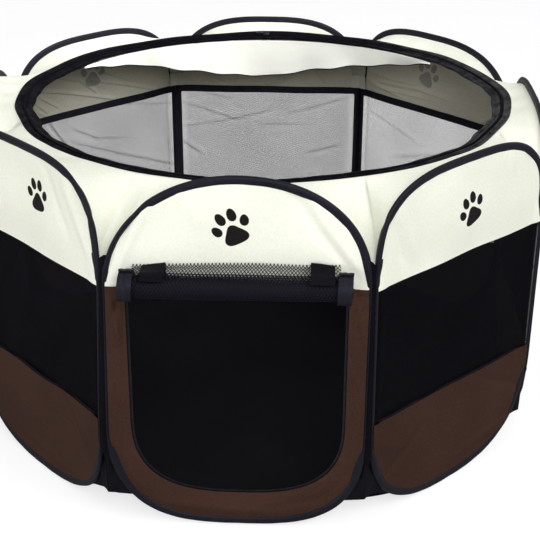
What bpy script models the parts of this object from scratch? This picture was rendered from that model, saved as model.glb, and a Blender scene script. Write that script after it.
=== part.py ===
"""A pop-up pet playpen: eight cloth and mesh walls on sprung wire hoops, a cloth floor and a roof collar.

Metres, +Z up. The origin is on the ground under the middle of the octagon, and the door faces -Y.
Every wall is drawn flat in its own plane (X along the wall, Y up, Z outwards) and then stood up on its
side of the octagon. An empty stands on each hinge line, and turning one folds the walls beyond it.
"""

import math

import bmesh
import bpy
from mathutils import Matrix, Vector

# The octagon of walls
SIDES = 8
ACROSS = 0.730  # between the middle planes of opposite walls

# The hoop of each wall, measured to the middle of its wire
HOOP_TO_CORNER = 0.0072  # from the wire to the octagon's corner, along the wall
ARCH_TOP = 0.4417  # the front wall's
ARCH_POWER = 2.05  # 2 would be half an ellipse
OTHER_ARCH_DROP = 0.0042  # the other walls' arches stand this much lower
OTHER_ARCH_POWER = 3.0  # and have fuller shoulders
HOOP_FOOT = 0.0055
FOOT_POWER = 2.6  # 2 would round the feet as an ellipse
ARCH_STEPS = 12
WIRE_RADIUS = 0.0015

# Seams between cream cloth, mesh and brown cloth
UPPER_SEAM = 0.320
LOWER_SEAM = 0.138

# Cloth, binding and clearances
CLOTH = 0.0012
BINDING_RADIUS = 0.0050
BINDING_WALL = 0.0012
BINDING_MOUTH = 0.0020
EDGE_TO_WIRE = 0.0005
SEAM_GAP = 0.0004
GAP = 0.0004
CLOTH_TO_BINDING = 0.0012

# Window nets: a plain grid of openings stands for the fine mesh
NET_COLUMNS = 6
NET_ROWS = 4
NET_BAR = 0.008

# Floor and its gussets
FLOOR_THICKNESS = 0.0020
FLOOR_MARGIN = 0.0070
FLOOR_DRAWN_IN = 0.018
FLOOR_LAP = 0.0030
GUSSET_TOP = 0.115
GUSSET_FOOT = 0.038

# Hinges: mountain corners fold inwards face to face, so their hinge line lies inside the walls
MOUNTAIN_INSET = 0.0054

# Roof: the collar runs from the arches to a round opening edged by a zip band
COLLAR_DEPTH = 0.065  # from the walls' middle planes in to the opening
BAND_WIDTH = 0.024
BAND_DROP = 0.0042
BAND_THICKNESS = 0.0015
BAND_HEIGHT = 0.4227
BAND_STEPS = 64
COLLAR_CORNER = 0.342  # how low the collar's cloth reaches between two arches
COLLAR_TO_BAND = 0.0016

# The loose facing inside the back of the opening
FACING_START = math.radians(39)
FACING_END = math.radians(149)
FACING_DROP = 0.059
FACING_END_DROP = 0.0020
FACING_STEPS = 22
FACING_TOP_GAP = 0.0030
FACING_INSET = 0.0022

# The doorway, measured to the middle of its zip
DOOR_TO_HOOP = 0.0175
DOOR_FOOT = 0.044
DOOR_SPRING = 0.150
DOOR_POWER = 2.8
ZIP_WIDTH = 0.0070
ZIP_THICKNESS = 0.0016

# The rolled door flap
ROLL_ABOVE_SEAM = 0.011  # its axis, over the seam of cream cloth and doorway
ROLL_RADIUS = 0.0150
ROLL_END_RADIUS = 0.0195
ROLL_CORE = 0.0030
ROLL_TURNS = 5
ROLL_POINTS = 24  # for each turn
ROLL_OVERHANG = 0.0045  # past the middle of the zip
EDGE_TAPE_WIDTH = 0.0155
EDGE_TAPE = 0.0022
FLAP_CLOTH = 0.0010
FLAP_SLACK = 0.0020  # how far the flap's seam lies above the roll's top
FLAP_SEAM_WIDTH = 0.0060
FLAP_SHORT = 0.0008  # the single layer stops this far short of the roll's top
ROLL_CLEARANCE = 0.0009

# Hook-and-loop tabs behind the roll
TAB_WIDTH = 0.026
TAB_LENGTH = 0.046
TAB_CENTRES = (-0.094, 0.092)
TAB_ABOVE_AXIS = 0.0150

# Zip sliders and pulls
SLIDER_WIDTH = 0.0080
SLIDER_LENGTH = 0.0090
SLIDER_DEPTH = 0.0026
SLIDER_BEVEL = 0.0007
SLIDER_NARROW_END = 0.0056
SLIDER_OVER_BAND = 0.0008
DOOR_SLIDER_BELOW_SEAM = 0.0065
BRIDGE_SPAN = 0.0072
BRIDGE_BAR = 0.0012
BRIDGE_ROOM = 0.0018
BRIDGE_LIP = 0.0001  # the bar stands this much proud of its posts
PULL_LENGTH = 0.0165
PULL_WIDTH = 0.0052
PULL_THICKNESS = 0.0010
PULL_RIM = 0.0012
PULL_GRIP_RIM = 0.0018
PULL_CORNER = 0.0013
PULL_EYE_WIDTH = 0.0026
PULL_EYE_LENGTH = 0.0050

# Guides
HOLDER_SIZE = 0.020
MERGE_DISTANCE = 0.0001

APOTHEM = ACROSS / 2
HALF_CORNER = math.pi / SIDES
HOOP_HALF_WIDTH = APOTHEM * math.tan(HALF_CORNER) - HOOP_TO_CORNER
DOOR_HALF_WIDTH = HOOP_HALF_WIDTH - DOOR_TO_HOOP
ROLL_RIGHT = DOOR_HALF_WIDTH + ROLL_OVERHANG
ROLL_LEFT = -ROLL_RIGHT
ROLL_HEIGHT = UPPER_SEAM + ROLL_ABOVE_SEAM
FLAP_SEAM = ROLL_HEIGHT + ROLL_RADIUS + FLAP_SLACK
TAB_TOP = ROLL_HEIGHT + TAB_ABOVE_AXIS
DOOR_SLIDER_HEIGHT = UPPER_SEAM - DOOR_SLIDER_BELOW_SEAM
OPENING_RADIUS = APOTHEM - COLLAR_DEPTH
PANEL_EDGE = WIRE_RADIUS + EDGE_TO_WIRE  # how far a panel's edge stays inside the hoop's centre line
WALLS = {
    "front": -90, "front_right": -45, "right": 0, "back_right": 45,
    "back": 90, "back_left": 135, "left": 180, "front_left": -135,
}
# Each wall hangs on the one before it, going both ways round from the front
CHAINS = (
    ("front", "front_right", "right", "back_right", "back"),
    ("front", "front_left", "left", "back_left"),
)
VALLEYS = {("front", "front_right"), ("right", "back_right"), ("front_left", "left")}


def clear_scene():
    for obj in list(bpy.data.objects):
        bpy.data.objects.remove(obj, do_unlink=True)


def make_collection(name):
    collection = bpy.data.collections.new(name)
    bpy.context.scene.collection.children.link(collection)
    return collection


def make_material(name, colour, roughness, metallic=0.0):
    material = bpy.data.materials.new(name)
    material.use_nodes = True
    shader = material.node_tree.nodes["Principled BSDF"]
    shader.inputs["Base Color"].default_value = (*colour, 1)
    shader.inputs["Roughness"].default_value = roughness
    shader.inputs["Metallic"].default_value = metallic
    return material


def make_materials():
    return {
        "cream": make_material("cream_cloth", (0.86, 0.87, 0.78), 0.8),
        "brown": make_material("brown_cloth", (0.06, 0.034, 0.025), 0.75),
        "mesh": make_material("black_mesh", (0.012, 0.012, 0.015), 0.8),
        "binding": make_material("black_binding", (0.016, 0.015, 0.023), 0.6),
        "floor": make_material("black_floor_cloth", (0.010, 0.010, 0.012), 0.7),
        "wire": make_material("spring_steel", (0.35, 0.35, 0.36), 0.35, 1.0),
        "zip": make_material("black_zip", (0.014, 0.014, 0.020), 0.45),
        "slider": make_material("painted_slider", (0.03, 0.03, 0.035), 0.35, 0.6),
        "hem": make_material("cream_facing", (0.86, 0.87, 0.78), 0.8),
    }


def direction(angle):
    return Vector((math.cos(angle), math.sin(angle), 0))


def wall_matrix(wall):
    """Stands a wall's own plane up on its side of the octagon."""
    angle = math.radians(WALLS[wall])
    turn = Matrix.Rotation(angle + math.pi / 2, 4, "Z") @ Matrix.Rotation(math.pi / 2, 4, "X")
    return Matrix.Translation(direction(angle) * APOTHEM) @ turn


def hinge_line(parent, child):
    """The foot of the hinge line between two neighbouring walls."""
    start = math.radians(WALLS[parent])
    step = math.radians((WALLS[child] - WALLS[parent] + 180) % 360 - 180)
    inset = 0 if (parent, child) in VALLEYS else MOUNTAIN_INSET
    return direction(start + step / 2) * (APOTHEM - inset) / math.cos(HALF_CORNER)


class Model:
    """Puts each object in its collection, at its place, under its holder."""

    def __init__(self):
        self.parts = make_collection("pet_playpen")
        self.guides = make_collection("guides")
        self.materials = make_materials()
        self.holders = {}

    def hang(self, obj, holder, world):
        """Puts an object at its place in the world, carried by a holder."""
        self.parts.objects.link(obj)
        if holder:
            obj.parent, place = self.holders[holder]
            obj.matrix_parent_inverse = Matrix.Translation(-place)
        obj.matrix_basis = world

    def holder(self, name, place, parent=None):
        empty = bpy.data.objects.new(name, None)
        empty.empty_display_size = HOLDER_SIZE
        self.hang(empty, parent, Matrix.Translation(place))
        self.holders[name] = (empty, Vector(place))

    def add(self, obj, material, holder, world=None):
        obj.data.materials.append(self.materials[material])
        self.hang(obj, holder, world or Matrix.Identity(4))


def spline(curve, points, cyclic=True):
    line = curve.splines.new("POLY")
    line.points.add(len(points) - 1)
    for target, (x, y) in zip(line.points, points):
        target.co = (x, y, 0, 1)
    line.use_cyclic_u = cyclic


def flat_piece(name, outlines, thickness):
    """A flat piece of cloth: an outline, then any holes in it."""
    curve = bpy.data.curves.new(name, "CURVE")
    curve.dimensions = "2D"
    curve.fill_mode = "BOTH"
    curve.extrude = thickness / 2
    for outline in outlines:
        spline(curve, outline)
    return bpy.data.objects.new(name, curve)


def ribbon(points, thickness):
    """The outline of a strip of cloth seen edge on, along a centre line of (x, y) points."""
    left, right = [], []
    for i, point in enumerate(points):
        before = Vector(points[max(i - 1, 0)])
        after = Vector(points[min(i + 1, len(points) - 1)])
        along = (after - before).normalized()
        side = Vector((-along.y, along.x)) * thickness / 2
        left.append(tuple(Vector(point) + side))
        right.append(tuple(Vector(point) - side))
    return left + right[::-1]


def rounded(value, power):
    """One coordinate of a superellipse, with the sign of the cosine or sine it comes from."""
    return math.copysign(abs(value) ** (2 / power), value)


def arch_points(wall, inset):
    """From the right spring line over the arch to the left one."""
    drop, power = (0, ARCH_POWER) if wall == "front" else (OTHER_ARCH_DROP, OTHER_ARCH_POWER)
    half = HOOP_HALF_WIDTH - inset
    rise = ARCH_TOP - drop - UPPER_SEAM - inset
    turns = [math.pi * i / ARCH_STEPS for i in range(ARCH_STEPS + 1)]
    return [
        (half * rounded(math.cos(t), power), UPPER_SEAM + rise * rounded(math.sin(t), power))
        for t in turns
    ]


def foot_points(half, spring, foot, power):
    """From the left spring line under the foot to the right one."""
    turns = [math.pi * i / ARCH_STEPS for i in range(ARCH_STEPS + 1)]
    return [
        (-half * rounded(math.cos(t), power), spring - (spring - foot) * rounded(math.sin(t), power))
        for t in turns
    ]


def hoop_foot_points(inset):
    return foot_points(HOOP_HALF_WIDTH - inset, LOWER_SEAM, HOOP_FOOT + inset, FOOT_POWER)


def hoop_points(wall):
    return arch_points(wall, 0) + hoop_foot_points(0)


def door_points(inset):
    """The doorway's U, from its top left down and round to its top right."""
    half = DOOR_HALF_WIDTH - inset
    top = UPPER_SEAM - SEAM_GAP
    bend = foot_points(half, DOOR_SPRING, DOOR_FOOT + inset, DOOR_POWER)
    return [(-half, top)] + bend + [(half, top)]


def binding_profile(model):
    """A folded tape seen end on: a C whose mouth takes the panels' edges."""
    inner = BINDING_RADIUS - BINDING_WALL
    mouth = BINDING_MOUTH / 2
    lip = math.asin(mouth / BINDING_RADIUS)
    inner_lip = math.asin(mouth / inner)
    outside = [lip] + [math.radians(turn) for turn in (50, 90, 135, 180, 225, 270, 310)] + [-lip]
    inside = [-inner_lip] + [math.radians(turn) for turn in (270, 180, 90)] + [inner_lip]
    points = [(BINDING_RADIUS * math.cos(a), BINDING_RADIUS * math.sin(a)) for a in outside]
    points += [(inner * math.cos(a), inner * math.sin(a)) for a in inside]
    curve = bpy.data.curves.new("binding_profile", "CURVE")
    curve.dimensions = "2D"
    spline(curve, points[::-1])
    guide = bpy.data.objects.new("binding_profile", curve)
    guide.hide_render = True
    guide.display_type = "WIRE"
    model.guides.objects.link(guide)
    return guide


def hoop_curve(name, wall):
    curve = bpy.data.curves.new(name, "CURVE")
    curve.dimensions = "2D"
    curve.fill_mode = "NONE"
    spline(curve, hoop_points(wall))
    return curve


def add_hoop(model, wall, profile):
    wire = hoop_curve("hoop_wire_" + wall, wall)
    wire.bevel_depth = WIRE_RADIUS
    wire.bevel_resolution = 1
    model.add(bpy.data.objects.new(wire.name, wire), "wire", wall, wall_matrix(wall))
    binding = hoop_curve("edge_binding_" + wall, wall)
    binding.bevel_mode = "OBJECT"
    binding.bevel_object = profile
    model.add(bpy.data.objects.new(binding.name, binding), "binding", wall, wall_matrix(wall))


def add_upper_panel(model, wall):
    panel = arch_points(wall, PANEL_EDGE)
    panel[0] = (panel[0][0], UPPER_SEAM + SEAM_GAP / 2)
    panel[-1] = (panel[-1][0], UPPER_SEAM + SEAM_GAP / 2)
    obj = flat_piece("upper_panel_" + wall, [panel], CLOTH)
    model.add(obj, "cream", wall, wall_matrix(wall))


def rectangle(left, low, right, high):
    return [(left, low), (right, low), (right, high), (left, high)]


def net_openings(half, low, high):
    """Openings in columns and rows, with a bar round each."""
    column_step = (2 * half - NET_BAR) / NET_COLUMNS
    row_step = (high - low - NET_BAR) / NET_ROWS
    openings = []
    for column in range(NET_COLUMNS):
        left = -half + NET_BAR + column * column_step
        for row in range(NET_ROWS):
            foot = low + NET_BAR + row * row_step
            openings.append(rectangle(left, foot, left + column_step - NET_BAR, foot + row_step - NET_BAR))
    return openings


def add_mesh_window(model, wall):
    half = HOOP_HALF_WIDTH - PANEL_EDGE
    low, high = LOWER_SEAM + SEAM_GAP / 2, UPPER_SEAM - SEAM_GAP / 2
    outlines = [rectangle(-half, low, half, high)] + net_openings(half, low, high)
    model.add(flat_piece("mesh_window_" + wall, outlines, CLOTH), "mesh", wall, wall_matrix(wall))


def add_lower_panel(model, wall):
    panel = hoop_foot_points(PANEL_EDGE)
    panel[0] = (panel[0][0], LOWER_SEAM - SEAM_GAP / 2)
    panel[-1] = (panel[-1][0], LOWER_SEAM - SEAM_GAP / 2)
    obj = flat_piece("lower_panel_" + wall, [panel], CLOTH)
    model.add(obj, "brown", wall, wall_matrix(wall))


def add_door_surround(model):
    top = UPPER_SEAM - SEAM_GAP / 2
    half = HOOP_HALF_WIDTH - PANEL_EDGE
    outside = [(-half, top)] + hoop_foot_points(PANEL_EDGE) + [(half, top)]
    inside = door_points(-ZIP_WIDTH / 2 - GAP)
    inside[0] = (inside[0][0], top)
    inside[-1] = (inside[-1][0], top)
    surround = flat_piece("door_surround", [outside + inside[::-1]], CLOTH)
    model.add(surround, "brown", "front", wall_matrix("front"))
    tape = door_points(-ZIP_WIDTH / 2) + door_points(ZIP_WIDTH / 2)[::-1]
    model.add(flat_piece("door_zip_tape", [tape], ZIP_THICKNESS), "zip", "front", wall_matrix("front"))


def spiral(outer_radius):
    """A rolled sheet seen end on, wound outwards and ending at the top of the roll."""
    count = ROLL_TURNS * ROLL_POINTS
    points = []
    for i in range(count + 1):
        share = i / count
        radius = ROLL_CORE + (outer_radius - ROLL_CORE) * share
        angle = math.pi / 2 + 2 * math.pi * ROLL_TURNS * (1 - share)
        points.append((radius * math.cos(angle), radius * math.sin(angle)))
    return points


def spiral_gap(outer_radius, thickness):
    """The room left between two turns of a rolled sheet."""
    return (outer_radius - ROLL_CORE) / ROLL_TURNS - thickness


def roll_centre():
    """The roll's axis in the Y-Z plane, with its bound ends just clear of the wall."""
    wall_face = -(APOTHEM + CLOTH / 2)
    return Vector((wall_face - ROLL_CLEARANCE - ROLL_END_RADIUS, ROLL_HEIGHT))


def across_matrix(x, y, z):
    """Turns a flat piece so that its X runs along world Y, its Y runs up and its Z runs along world X."""
    turn = Matrix.Rotation(math.pi / 2, 4, "Z") @ Matrix.Rotation(math.pi / 2, 4, "X")
    return Matrix.Translation((x, y, z)) @ turn


def add_door_roll(model):
    centre = roll_centre()
    model.holder("door_roll", Vector((0, centre.x, centre.y)), "front")
    left_tape = (ROLL_LEFT, ROLL_LEFT + EDGE_TAPE_WIDTH)
    right_tape = (ROLL_RIGHT - EDGE_TAPE_WIDTH, ROLL_RIGHT)
    between = (left_tape[1] + GAP, right_tape[0] - GAP)
    pieces = (
        ("door_flap_roll", "mesh", *between, ROLL_RADIUS, FLAP_CLOTH),
        ("door_edge_tape_left", "binding", *left_tape, ROLL_END_RADIUS, EDGE_TAPE),
        ("door_edge_tape_right", "binding", *right_tape, ROLL_END_RADIUS, EDGE_TAPE),
    )
    for name, material, left, right, outer, thickness in pieces:
        radius = outer - thickness / 2
        obj = flat_piece(name, [ribbon(spiral(radius), thickness)], right - left)
        model.add(obj, material, "door_roll", across_matrix((left + right) / 2, centre.x, centre.y))
        print(f"{name}: least gap between turns {spiral_gap(radius, thickness) * 1000:.2f} mm")


def add_flap_top(model):
    """The single layer of the flap, from its seam on the wall out to the top of the roll."""
    centre = roll_centre()
    face = -(APOTHEM + CLOTH / 2) - GAP - FLAP_CLOTH / 2
    roll_top = ROLL_HEIGHT + ROLL_RADIUS - FLAP_CLOTH / 2
    section = [(face, FLAP_SEAM + FLAP_SEAM_WIDTH), (face, FLAP_SEAM), (centre.x + FLAP_SHORT, roll_top)]
    left = ROLL_LEFT + EDGE_TAPE_WIDTH + GAP
    right = ROLL_RIGHT - EDGE_TAPE_WIDTH - GAP
    obj = flat_piece("door_flap_top", [ribbon(section, FLAP_CLOTH)], right - left)
    model.add(obj, "mesh", "front", across_matrix((left + right) / 2, 0, 0))


def add_tabs(model):
    """Two strips that hang on the wall behind the roll."""
    half = TAB_WIDTH / 2
    foot = TAB_TOP - TAB_LENGTH
    outline = [(-half, foot), (half, foot), (half, TAB_TOP), (-half, TAB_TOP)]
    offset = Matrix.Translation((0, 0, CLOTH + GAP))
    for side, centre in zip(("left", "right"), TAB_CENTRES):
        obj = flat_piece("door_tab_" + side, [[(centre + x, y) for x, y in outline]], CLOTH)
        model.add(obj, "binding", "front", wall_matrix("front") @ offset)


def box(mesh, low, high):
    """Adds a box to a bmesh, between two corners."""
    low, high = Vector(low), Vector(high)
    stretch = Matrix.Diagonal((*(high - low), 1))
    middle = Matrix.Translation((low + high) / 2)
    return bmesh.ops.create_cube(mesh, size=1, matrix=middle @ stretch)["verts"]


def mesh_object(name, mesh):
    data = bpy.data.meshes.new(name)
    mesh.to_mesh(data)
    mesh.free()
    return bpy.data.objects.new(name, data)


def union(model, obj, low, high, label):
    """Joins a box to an object."""
    mesh = bmesh.new()
    box(mesh, low, high)
    tool = mesh_object(obj.name + "_" + label, mesh)
    tool.hide_render = True
    tool.display_type = "WIRE"
    model.guides.objects.link(tool)
    tool.parent = obj
    join = obj.modifiers.new(label, "BOOLEAN")
    join.operation = "UNION"
    join.object = tool


def slider_object(model, name):
    """A zip slider lying in its own X-Y plane, its face up +Z, with the bridge that carries the pull."""
    mesh = bmesh.new()
    verts = box(
        mesh,
        (-SLIDER_WIDTH / 2, -SLIDER_LENGTH / 2, 0),
        (SLIDER_WIDTH / 2, SLIDER_LENGTH / 2, SLIDER_DEPTH),
    )
    narrow = [v for v in verts if v.co.y < 0]
    for vert in narrow:
        vert.co.x *= SLIDER_NARROW_END / SLIDER_WIDTH
    bmesh.ops.bevel(mesh, geom=list(mesh.edges), offset=SLIDER_BEVEL, segments=1, affect="EDGES")
    obj = mesh_object(name, mesh)
    bar = BRIDGE_BAR / 2
    end = BRIDGE_SPAN / 2
    sunk = SLIDER_DEPTH / 2
    under = SLIDER_DEPTH + BRIDGE_ROOM
    top = under + BRIDGE_BAR
    union(model, obj, (-bar, -end, sunk), (bar, -end + BRIDGE_BAR, top - BRIDGE_LIP), "lower_post")
    union(model, obj, (-bar, end - BRIDGE_BAR, sunk), (bar, end, top - BRIDGE_LIP), "upper_post")
    proud = Vector((bar + BRIDGE_LIP, end + BRIDGE_LIP, 0))
    union(model, obj, Vector((0, 0, under)) - proud, Vector((0, 0, top)) + proud, "bar")
    return obj


def pull_object(name):
    """A pull hanging down -Y from its pivot, with the eye that goes round the bridge."""
    half = PULL_WIDTH / 2
    top = PULL_RIM / 2
    foot = top - PULL_LENGTH
    plate = [
        (-half, top - PULL_CORNER / 2), (-half + PULL_CORNER / 2, top),
        (half - PULL_CORNER / 2, top), (half, top - PULL_CORNER / 2),
        (half, foot + PULL_CORNER), (half - PULL_CORNER, foot),
        (-half + PULL_CORNER, foot), (-half, foot + PULL_CORNER),
    ]
    eye_half = PULL_EYE_WIDTH / 2
    eye_top = -PULL_RIM / 2
    eye_foot = eye_top - PULL_EYE_LENGTH
    eye = [(-eye_half, eye_foot), (eye_half, eye_foot), (eye_half, eye_top), (-eye_half, eye_top)]
    grip_top = eye_foot - PULL_GRIP_RIM
    grip_foot = foot + PULL_GRIP_RIM
    grip = [(-eye_half, grip_foot), (eye_half, grip_foot), (eye_half, grip_top), (-eye_half, grip_top)]
    return flat_piece(name, [plate, eye, grip], PULL_THICKNESS)


def add_slider_with_pull(model, label, parent, slider_world, hinge_at):
    """A slider on its own holder, and a pull on a second one at the pivot in the bridge."""
    slider = slider_object(model, label + "_slider")
    model.holder(label + "_slide", hinge_at, parent)
    model.add(slider, "slider", label + "_slide", slider_world)
    pivot = slider_world @ Matrix.Translation((0, 0, SLIDER_DEPTH + BRIDGE_ROOM / 2))
    model.holder(label + "_pivot", pivot.translation, label + "_slide")
    model.add(pull_object(label + "_pull"), "slider", label + "_pivot", pivot)


def add_door_sliders(model):
    """On the inner face of the zip, at the top of its two straight sides."""
    inward = wall_matrix("front") @ Matrix.Rotation(math.pi, 4, "Y")
    for side, x in (("left", -DOOR_HALF_WIDTH), ("right", DOOR_HALF_WIDTH)):
        world = inward @ Matrix.Translation((-x, DOOR_SLIDER_HEIGHT, ZIP_THICKNESS / 2 + GAP))
        add_slider_with_pull(model, "door_zip_" + side, "front", world, world.translation)


def ring_loft(name, rows, closed=True):
    """An open surface through rows of points that run alongside each other."""
    mesh = bmesh.new()
    lines = [[mesh.verts.new(point) for point in row] for row in rows]
    count = len(lines[0])
    for lower, upper in zip(lines, lines[1:]):
        for i in range(count if closed else count - 1):
            j = (i + 1) % count
            mesh.faces.new((lower[i], lower[j], upper[j], upper[i]))
    return mesh_object(name, mesh)


def thicken(obj, thickness):
    solidify = obj.modifiers.new("cloth", "SOLIDIFY")
    solidify.thickness = thickness
    solidify.offset = 0


def inner_apothem():
    """Where cloth sewn along the inside of the hoops runs."""
    return APOTHEM - BINDING_RADIUS - CLOTH_TO_BINDING


def wall_point(wall, along, height, apothem):
    angle = math.radians(WALLS[wall])
    side = Vector((-math.sin(angle), math.cos(angle), 0))
    return direction(angle) * apothem + side * along + Vector((0, 0, height))


def add_roof_collar(model):
    """Cloth from just inside the eight arches to the zip band's outer edge."""
    corner = inner_apothem() * math.tan(HALF_CORNER)
    outer = []
    for wall in WALLS:
        outer.append(wall_point(wall, -corner, COLLAR_CORNER, inner_apothem()))
        for along, height in arch_points(wall, 0)[-2:0:-1]:
            outer.append(wall_point(wall, along, max(height, COLLAR_CORNER), inner_apothem()))
    radius = OPENING_RADIUS + BAND_WIDTH + COLLAR_TO_BAND
    height = BAND_HEIGHT + BAND_DROP / 2
    inner = []
    for point in outer:
        flat = Vector((point.x, point.y, 0)).normalized()
        inner.append(flat * radius + Vector((0, 0, height)))
    collar = ring_loft("roof_collar", [outer, inner])
    thicken(collar, CLOTH)
    model.add(collar, "cream", "front")


def add_rim_band(model):
    """The zip band round the opening, falling a little towards the middle."""
    outer_radius = OPENING_RADIUS + BAND_WIDTH
    outer_height = BAND_HEIGHT + BAND_DROP / 2
    inner_height = BAND_HEIGHT - BAND_DROP / 2
    half = BAND_THICKNESS / 2
    profile = (
        (OPENING_RADIUS, inner_height + half), (outer_radius, outer_height + half),
        (outer_radius, outer_height - half), (OPENING_RADIUS, inner_height - half),
    )
    mesh = bmesh.new()
    verts = [mesh.verts.new((r, 0, z)) for r, z in profile]
    for i, vert in enumerate(verts):
        mesh.edges.new((vert, verts[(i + 1) % len(verts)]))
    band = mesh_object("rim_zip_band", mesh)
    screw = band.modifiers.new("turned", "SCREW")
    screw.steps = BAND_STEPS
    screw.render_steps = BAND_STEPS
    screw.use_merge_vertices = True
    screw.merge_threshold = MERGE_DISTANCE
    model.add(band, "zip", "front")


def add_back_facing(model):
    """A loose strip that hangs inside the back of the opening, deepest in its middle."""
    radius = OPENING_RADIUS - FACING_INSET
    top = BAND_HEIGHT - BAND_DROP / 2 - FACING_TOP_GAP
    upper, lower = [], []
    for i in range(FACING_STEPS + 1):
        share = i / FACING_STEPS
        angle = FACING_START + (FACING_END - FACING_START) * share
        drop = FACING_END_DROP + FACING_DROP * math.sin(math.pi * share)
        rim = direction(angle) * radius
        upper.append(rim + Vector((0, 0, top)))
        lower.append(rim + Vector((0, 0, top - drop)))
    facing = ring_loft("back_facing", [lower, upper], closed=False)
    thicken(facing, CLOTH)
    model.add(facing, "hem", "front")


def foot_columns():
    """Points round the inside of all the hoops' feet: a corner, then one wall's points, and so on."""
    corner = inner_apothem() * math.tan(HALF_CORNER)
    for wall in WALLS:
        yield wall, -corner, GUSSET_TOP
        for along, height in hoop_foot_points(0)[1:-1]:
            yield wall, along, height


def ground_point(wall, along, outwards, level):
    """The floor's edge: nearly a circle, drawn in at the corners, where the hoops' feet lift the cloth."""
    angle = math.atan2(along, inner_apothem())
    drawn_in = FLOOR_DRAWN_IN * (angle / HALF_CORNER) ** 2
    radius = inner_apothem() - FLOOR_MARGIN - drawn_in + outwards
    return direction(math.radians(WALLS[wall]) + angle) * radius + Vector((0, 0, level))


def add_floor(model):
    """The floor cloth, flat on the ground inside the feet of the hoops."""
    points = [ground_point(wall, along, FLOOR_LAP, 0) for wall, along, _ in foot_columns()]
    lift = Matrix.Translation((0, 0, FLOOR_THICKNESS / 2))
    sheet = flat_piece("floor_sheet", [[(p.x, p.y) for p in points]], FLOOR_THICKNESS)
    model.add(sheet, "floor", "front", lift)


def add_floor_gussets(model):
    """Black cloth between the feet of the hoops, turned in under them and down to the floor's edge."""
    level = FLOOR_THICKNESS + GAP + CLOTH / 2
    upper, edge, ground = [], [], []
    for wall, along, height in foot_columns():
        upper.append(wall_point(wall, along, min(height, GUSSET_TOP), inner_apothem()))
        fold = min(height, GUSSET_FOOT) - CLOTH
        edge.append(wall_point(wall, along, fold, inner_apothem() - CLOTH / 2))
        ground.append(ground_point(wall, along, 0, level))
    skirt = ring_loft("floor_gusset_strip", [ground, edge, upper])
    thicken(skirt, CLOTH)
    model.add(skirt, "floor", "front")


def add_rim_slider(model):
    """On top of the zip band at the back, its length along the band, its pull lying on the band."""
    slope = math.atan2(BAND_DROP, BAND_WIDTH)
    radius = OPENING_RADIUS + BAND_WIDTH / 2
    seat = Matrix.Translation((0, radius, BAND_HEIGHT)) @ Matrix.Rotation(slope, 4, "X")
    lift = Matrix.Translation((0, 0, BAND_THICKNESS / 2 + SLIDER_OVER_BAND))
    along = Matrix.Rotation(-math.pi / 2, 4, "Z")
    add_slider_with_pull(model, "rim_zip", "back", seat @ lift @ along, Vector((0, 0, BAND_HEIGHT)))


def add_holders(model):
    """One empty at the origin for the front wall, then one on each hinge line."""
    model.holder("front", Vector((0, 0, 0)))
    for chain in CHAINS:
        for parent, child in zip(chain, chain[1:]):
            model.holder(child, hinge_line(parent, child), parent)


def build():
    clear_scene()
    model = Model()
    add_holders(model)
    profile = binding_profile(model)
    for wall in WALLS:
        add_hoop(model, wall, profile)
        add_upper_panel(model, wall)
        if wall != "front":
            add_mesh_window(model, wall)
            add_lower_panel(model, wall)
    add_door_surround(model)
    add_door_roll(model)
    add_flap_top(model)
    add_tabs(model)
    add_door_sliders(model)
    add_floor(model)
    add_floor_gussets(model)
    add_roof_collar(model)
    add_rim_band(model)
    add_back_facing(model)
    add_rim_slider(model)
    bpy.context.view_layer.update()


build()
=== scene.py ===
"""The pet playpen tent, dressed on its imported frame: cloth, nets, tapes, zips, floor, camera and light.

Metres, +Z up, the origin on the ground under the middle of the octagon. A point of a wall is given by
u along the wall, w outwards from its middle plane and z up.
"""

import math

import bpy
import numpy as np
from mathutils import Matrix, Vector


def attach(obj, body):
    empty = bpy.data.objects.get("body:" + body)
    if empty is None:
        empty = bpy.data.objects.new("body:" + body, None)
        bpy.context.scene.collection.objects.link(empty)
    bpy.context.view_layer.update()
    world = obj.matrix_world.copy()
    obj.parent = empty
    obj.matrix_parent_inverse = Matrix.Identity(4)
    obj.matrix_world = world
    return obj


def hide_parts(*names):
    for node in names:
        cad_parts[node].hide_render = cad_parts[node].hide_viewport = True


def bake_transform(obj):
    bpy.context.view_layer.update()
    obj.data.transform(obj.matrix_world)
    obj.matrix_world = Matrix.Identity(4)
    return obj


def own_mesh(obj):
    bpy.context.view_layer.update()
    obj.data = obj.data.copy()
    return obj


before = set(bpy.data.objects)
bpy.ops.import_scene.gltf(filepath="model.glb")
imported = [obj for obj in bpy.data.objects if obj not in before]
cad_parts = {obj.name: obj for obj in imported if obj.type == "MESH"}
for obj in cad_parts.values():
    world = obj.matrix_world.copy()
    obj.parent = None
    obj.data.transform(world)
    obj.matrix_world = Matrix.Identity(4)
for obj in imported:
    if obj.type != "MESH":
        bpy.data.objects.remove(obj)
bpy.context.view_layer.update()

# The frame's own measures, as in its source
APOTHEM = 0.365
HALF_CORNER = math.pi / 8
CORNER = APOTHEM * math.tan(HALF_CORNER)
HALF = CORNER - 0.0072  # the hoop's wire, from the middle of the wall
ARCH_SEAM = 0.320
FOOT_SEAM = 0.138
HOOP_FOOT = 0.0055
FOOT_POWER = 2.6
FRONT_FOOT_POWER = 3.0  # the front hoop stands squarer on its foot
WIRE_RADIUS = 0.0013
WALLS = {
    "front": -90, "front_right": -45, "right": 0, "back_right": 45,
    "back": 90, "back_left": 135, "left": 180, "front_left": -135,
}
HINGES = (
    ("front", "front_right"), ("front_right", "right"), ("right", "back_right"), ("back_right", "back"),
    ("front", "front_left"), ("front_left", "left"), ("left", "back_left"),
)

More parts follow.
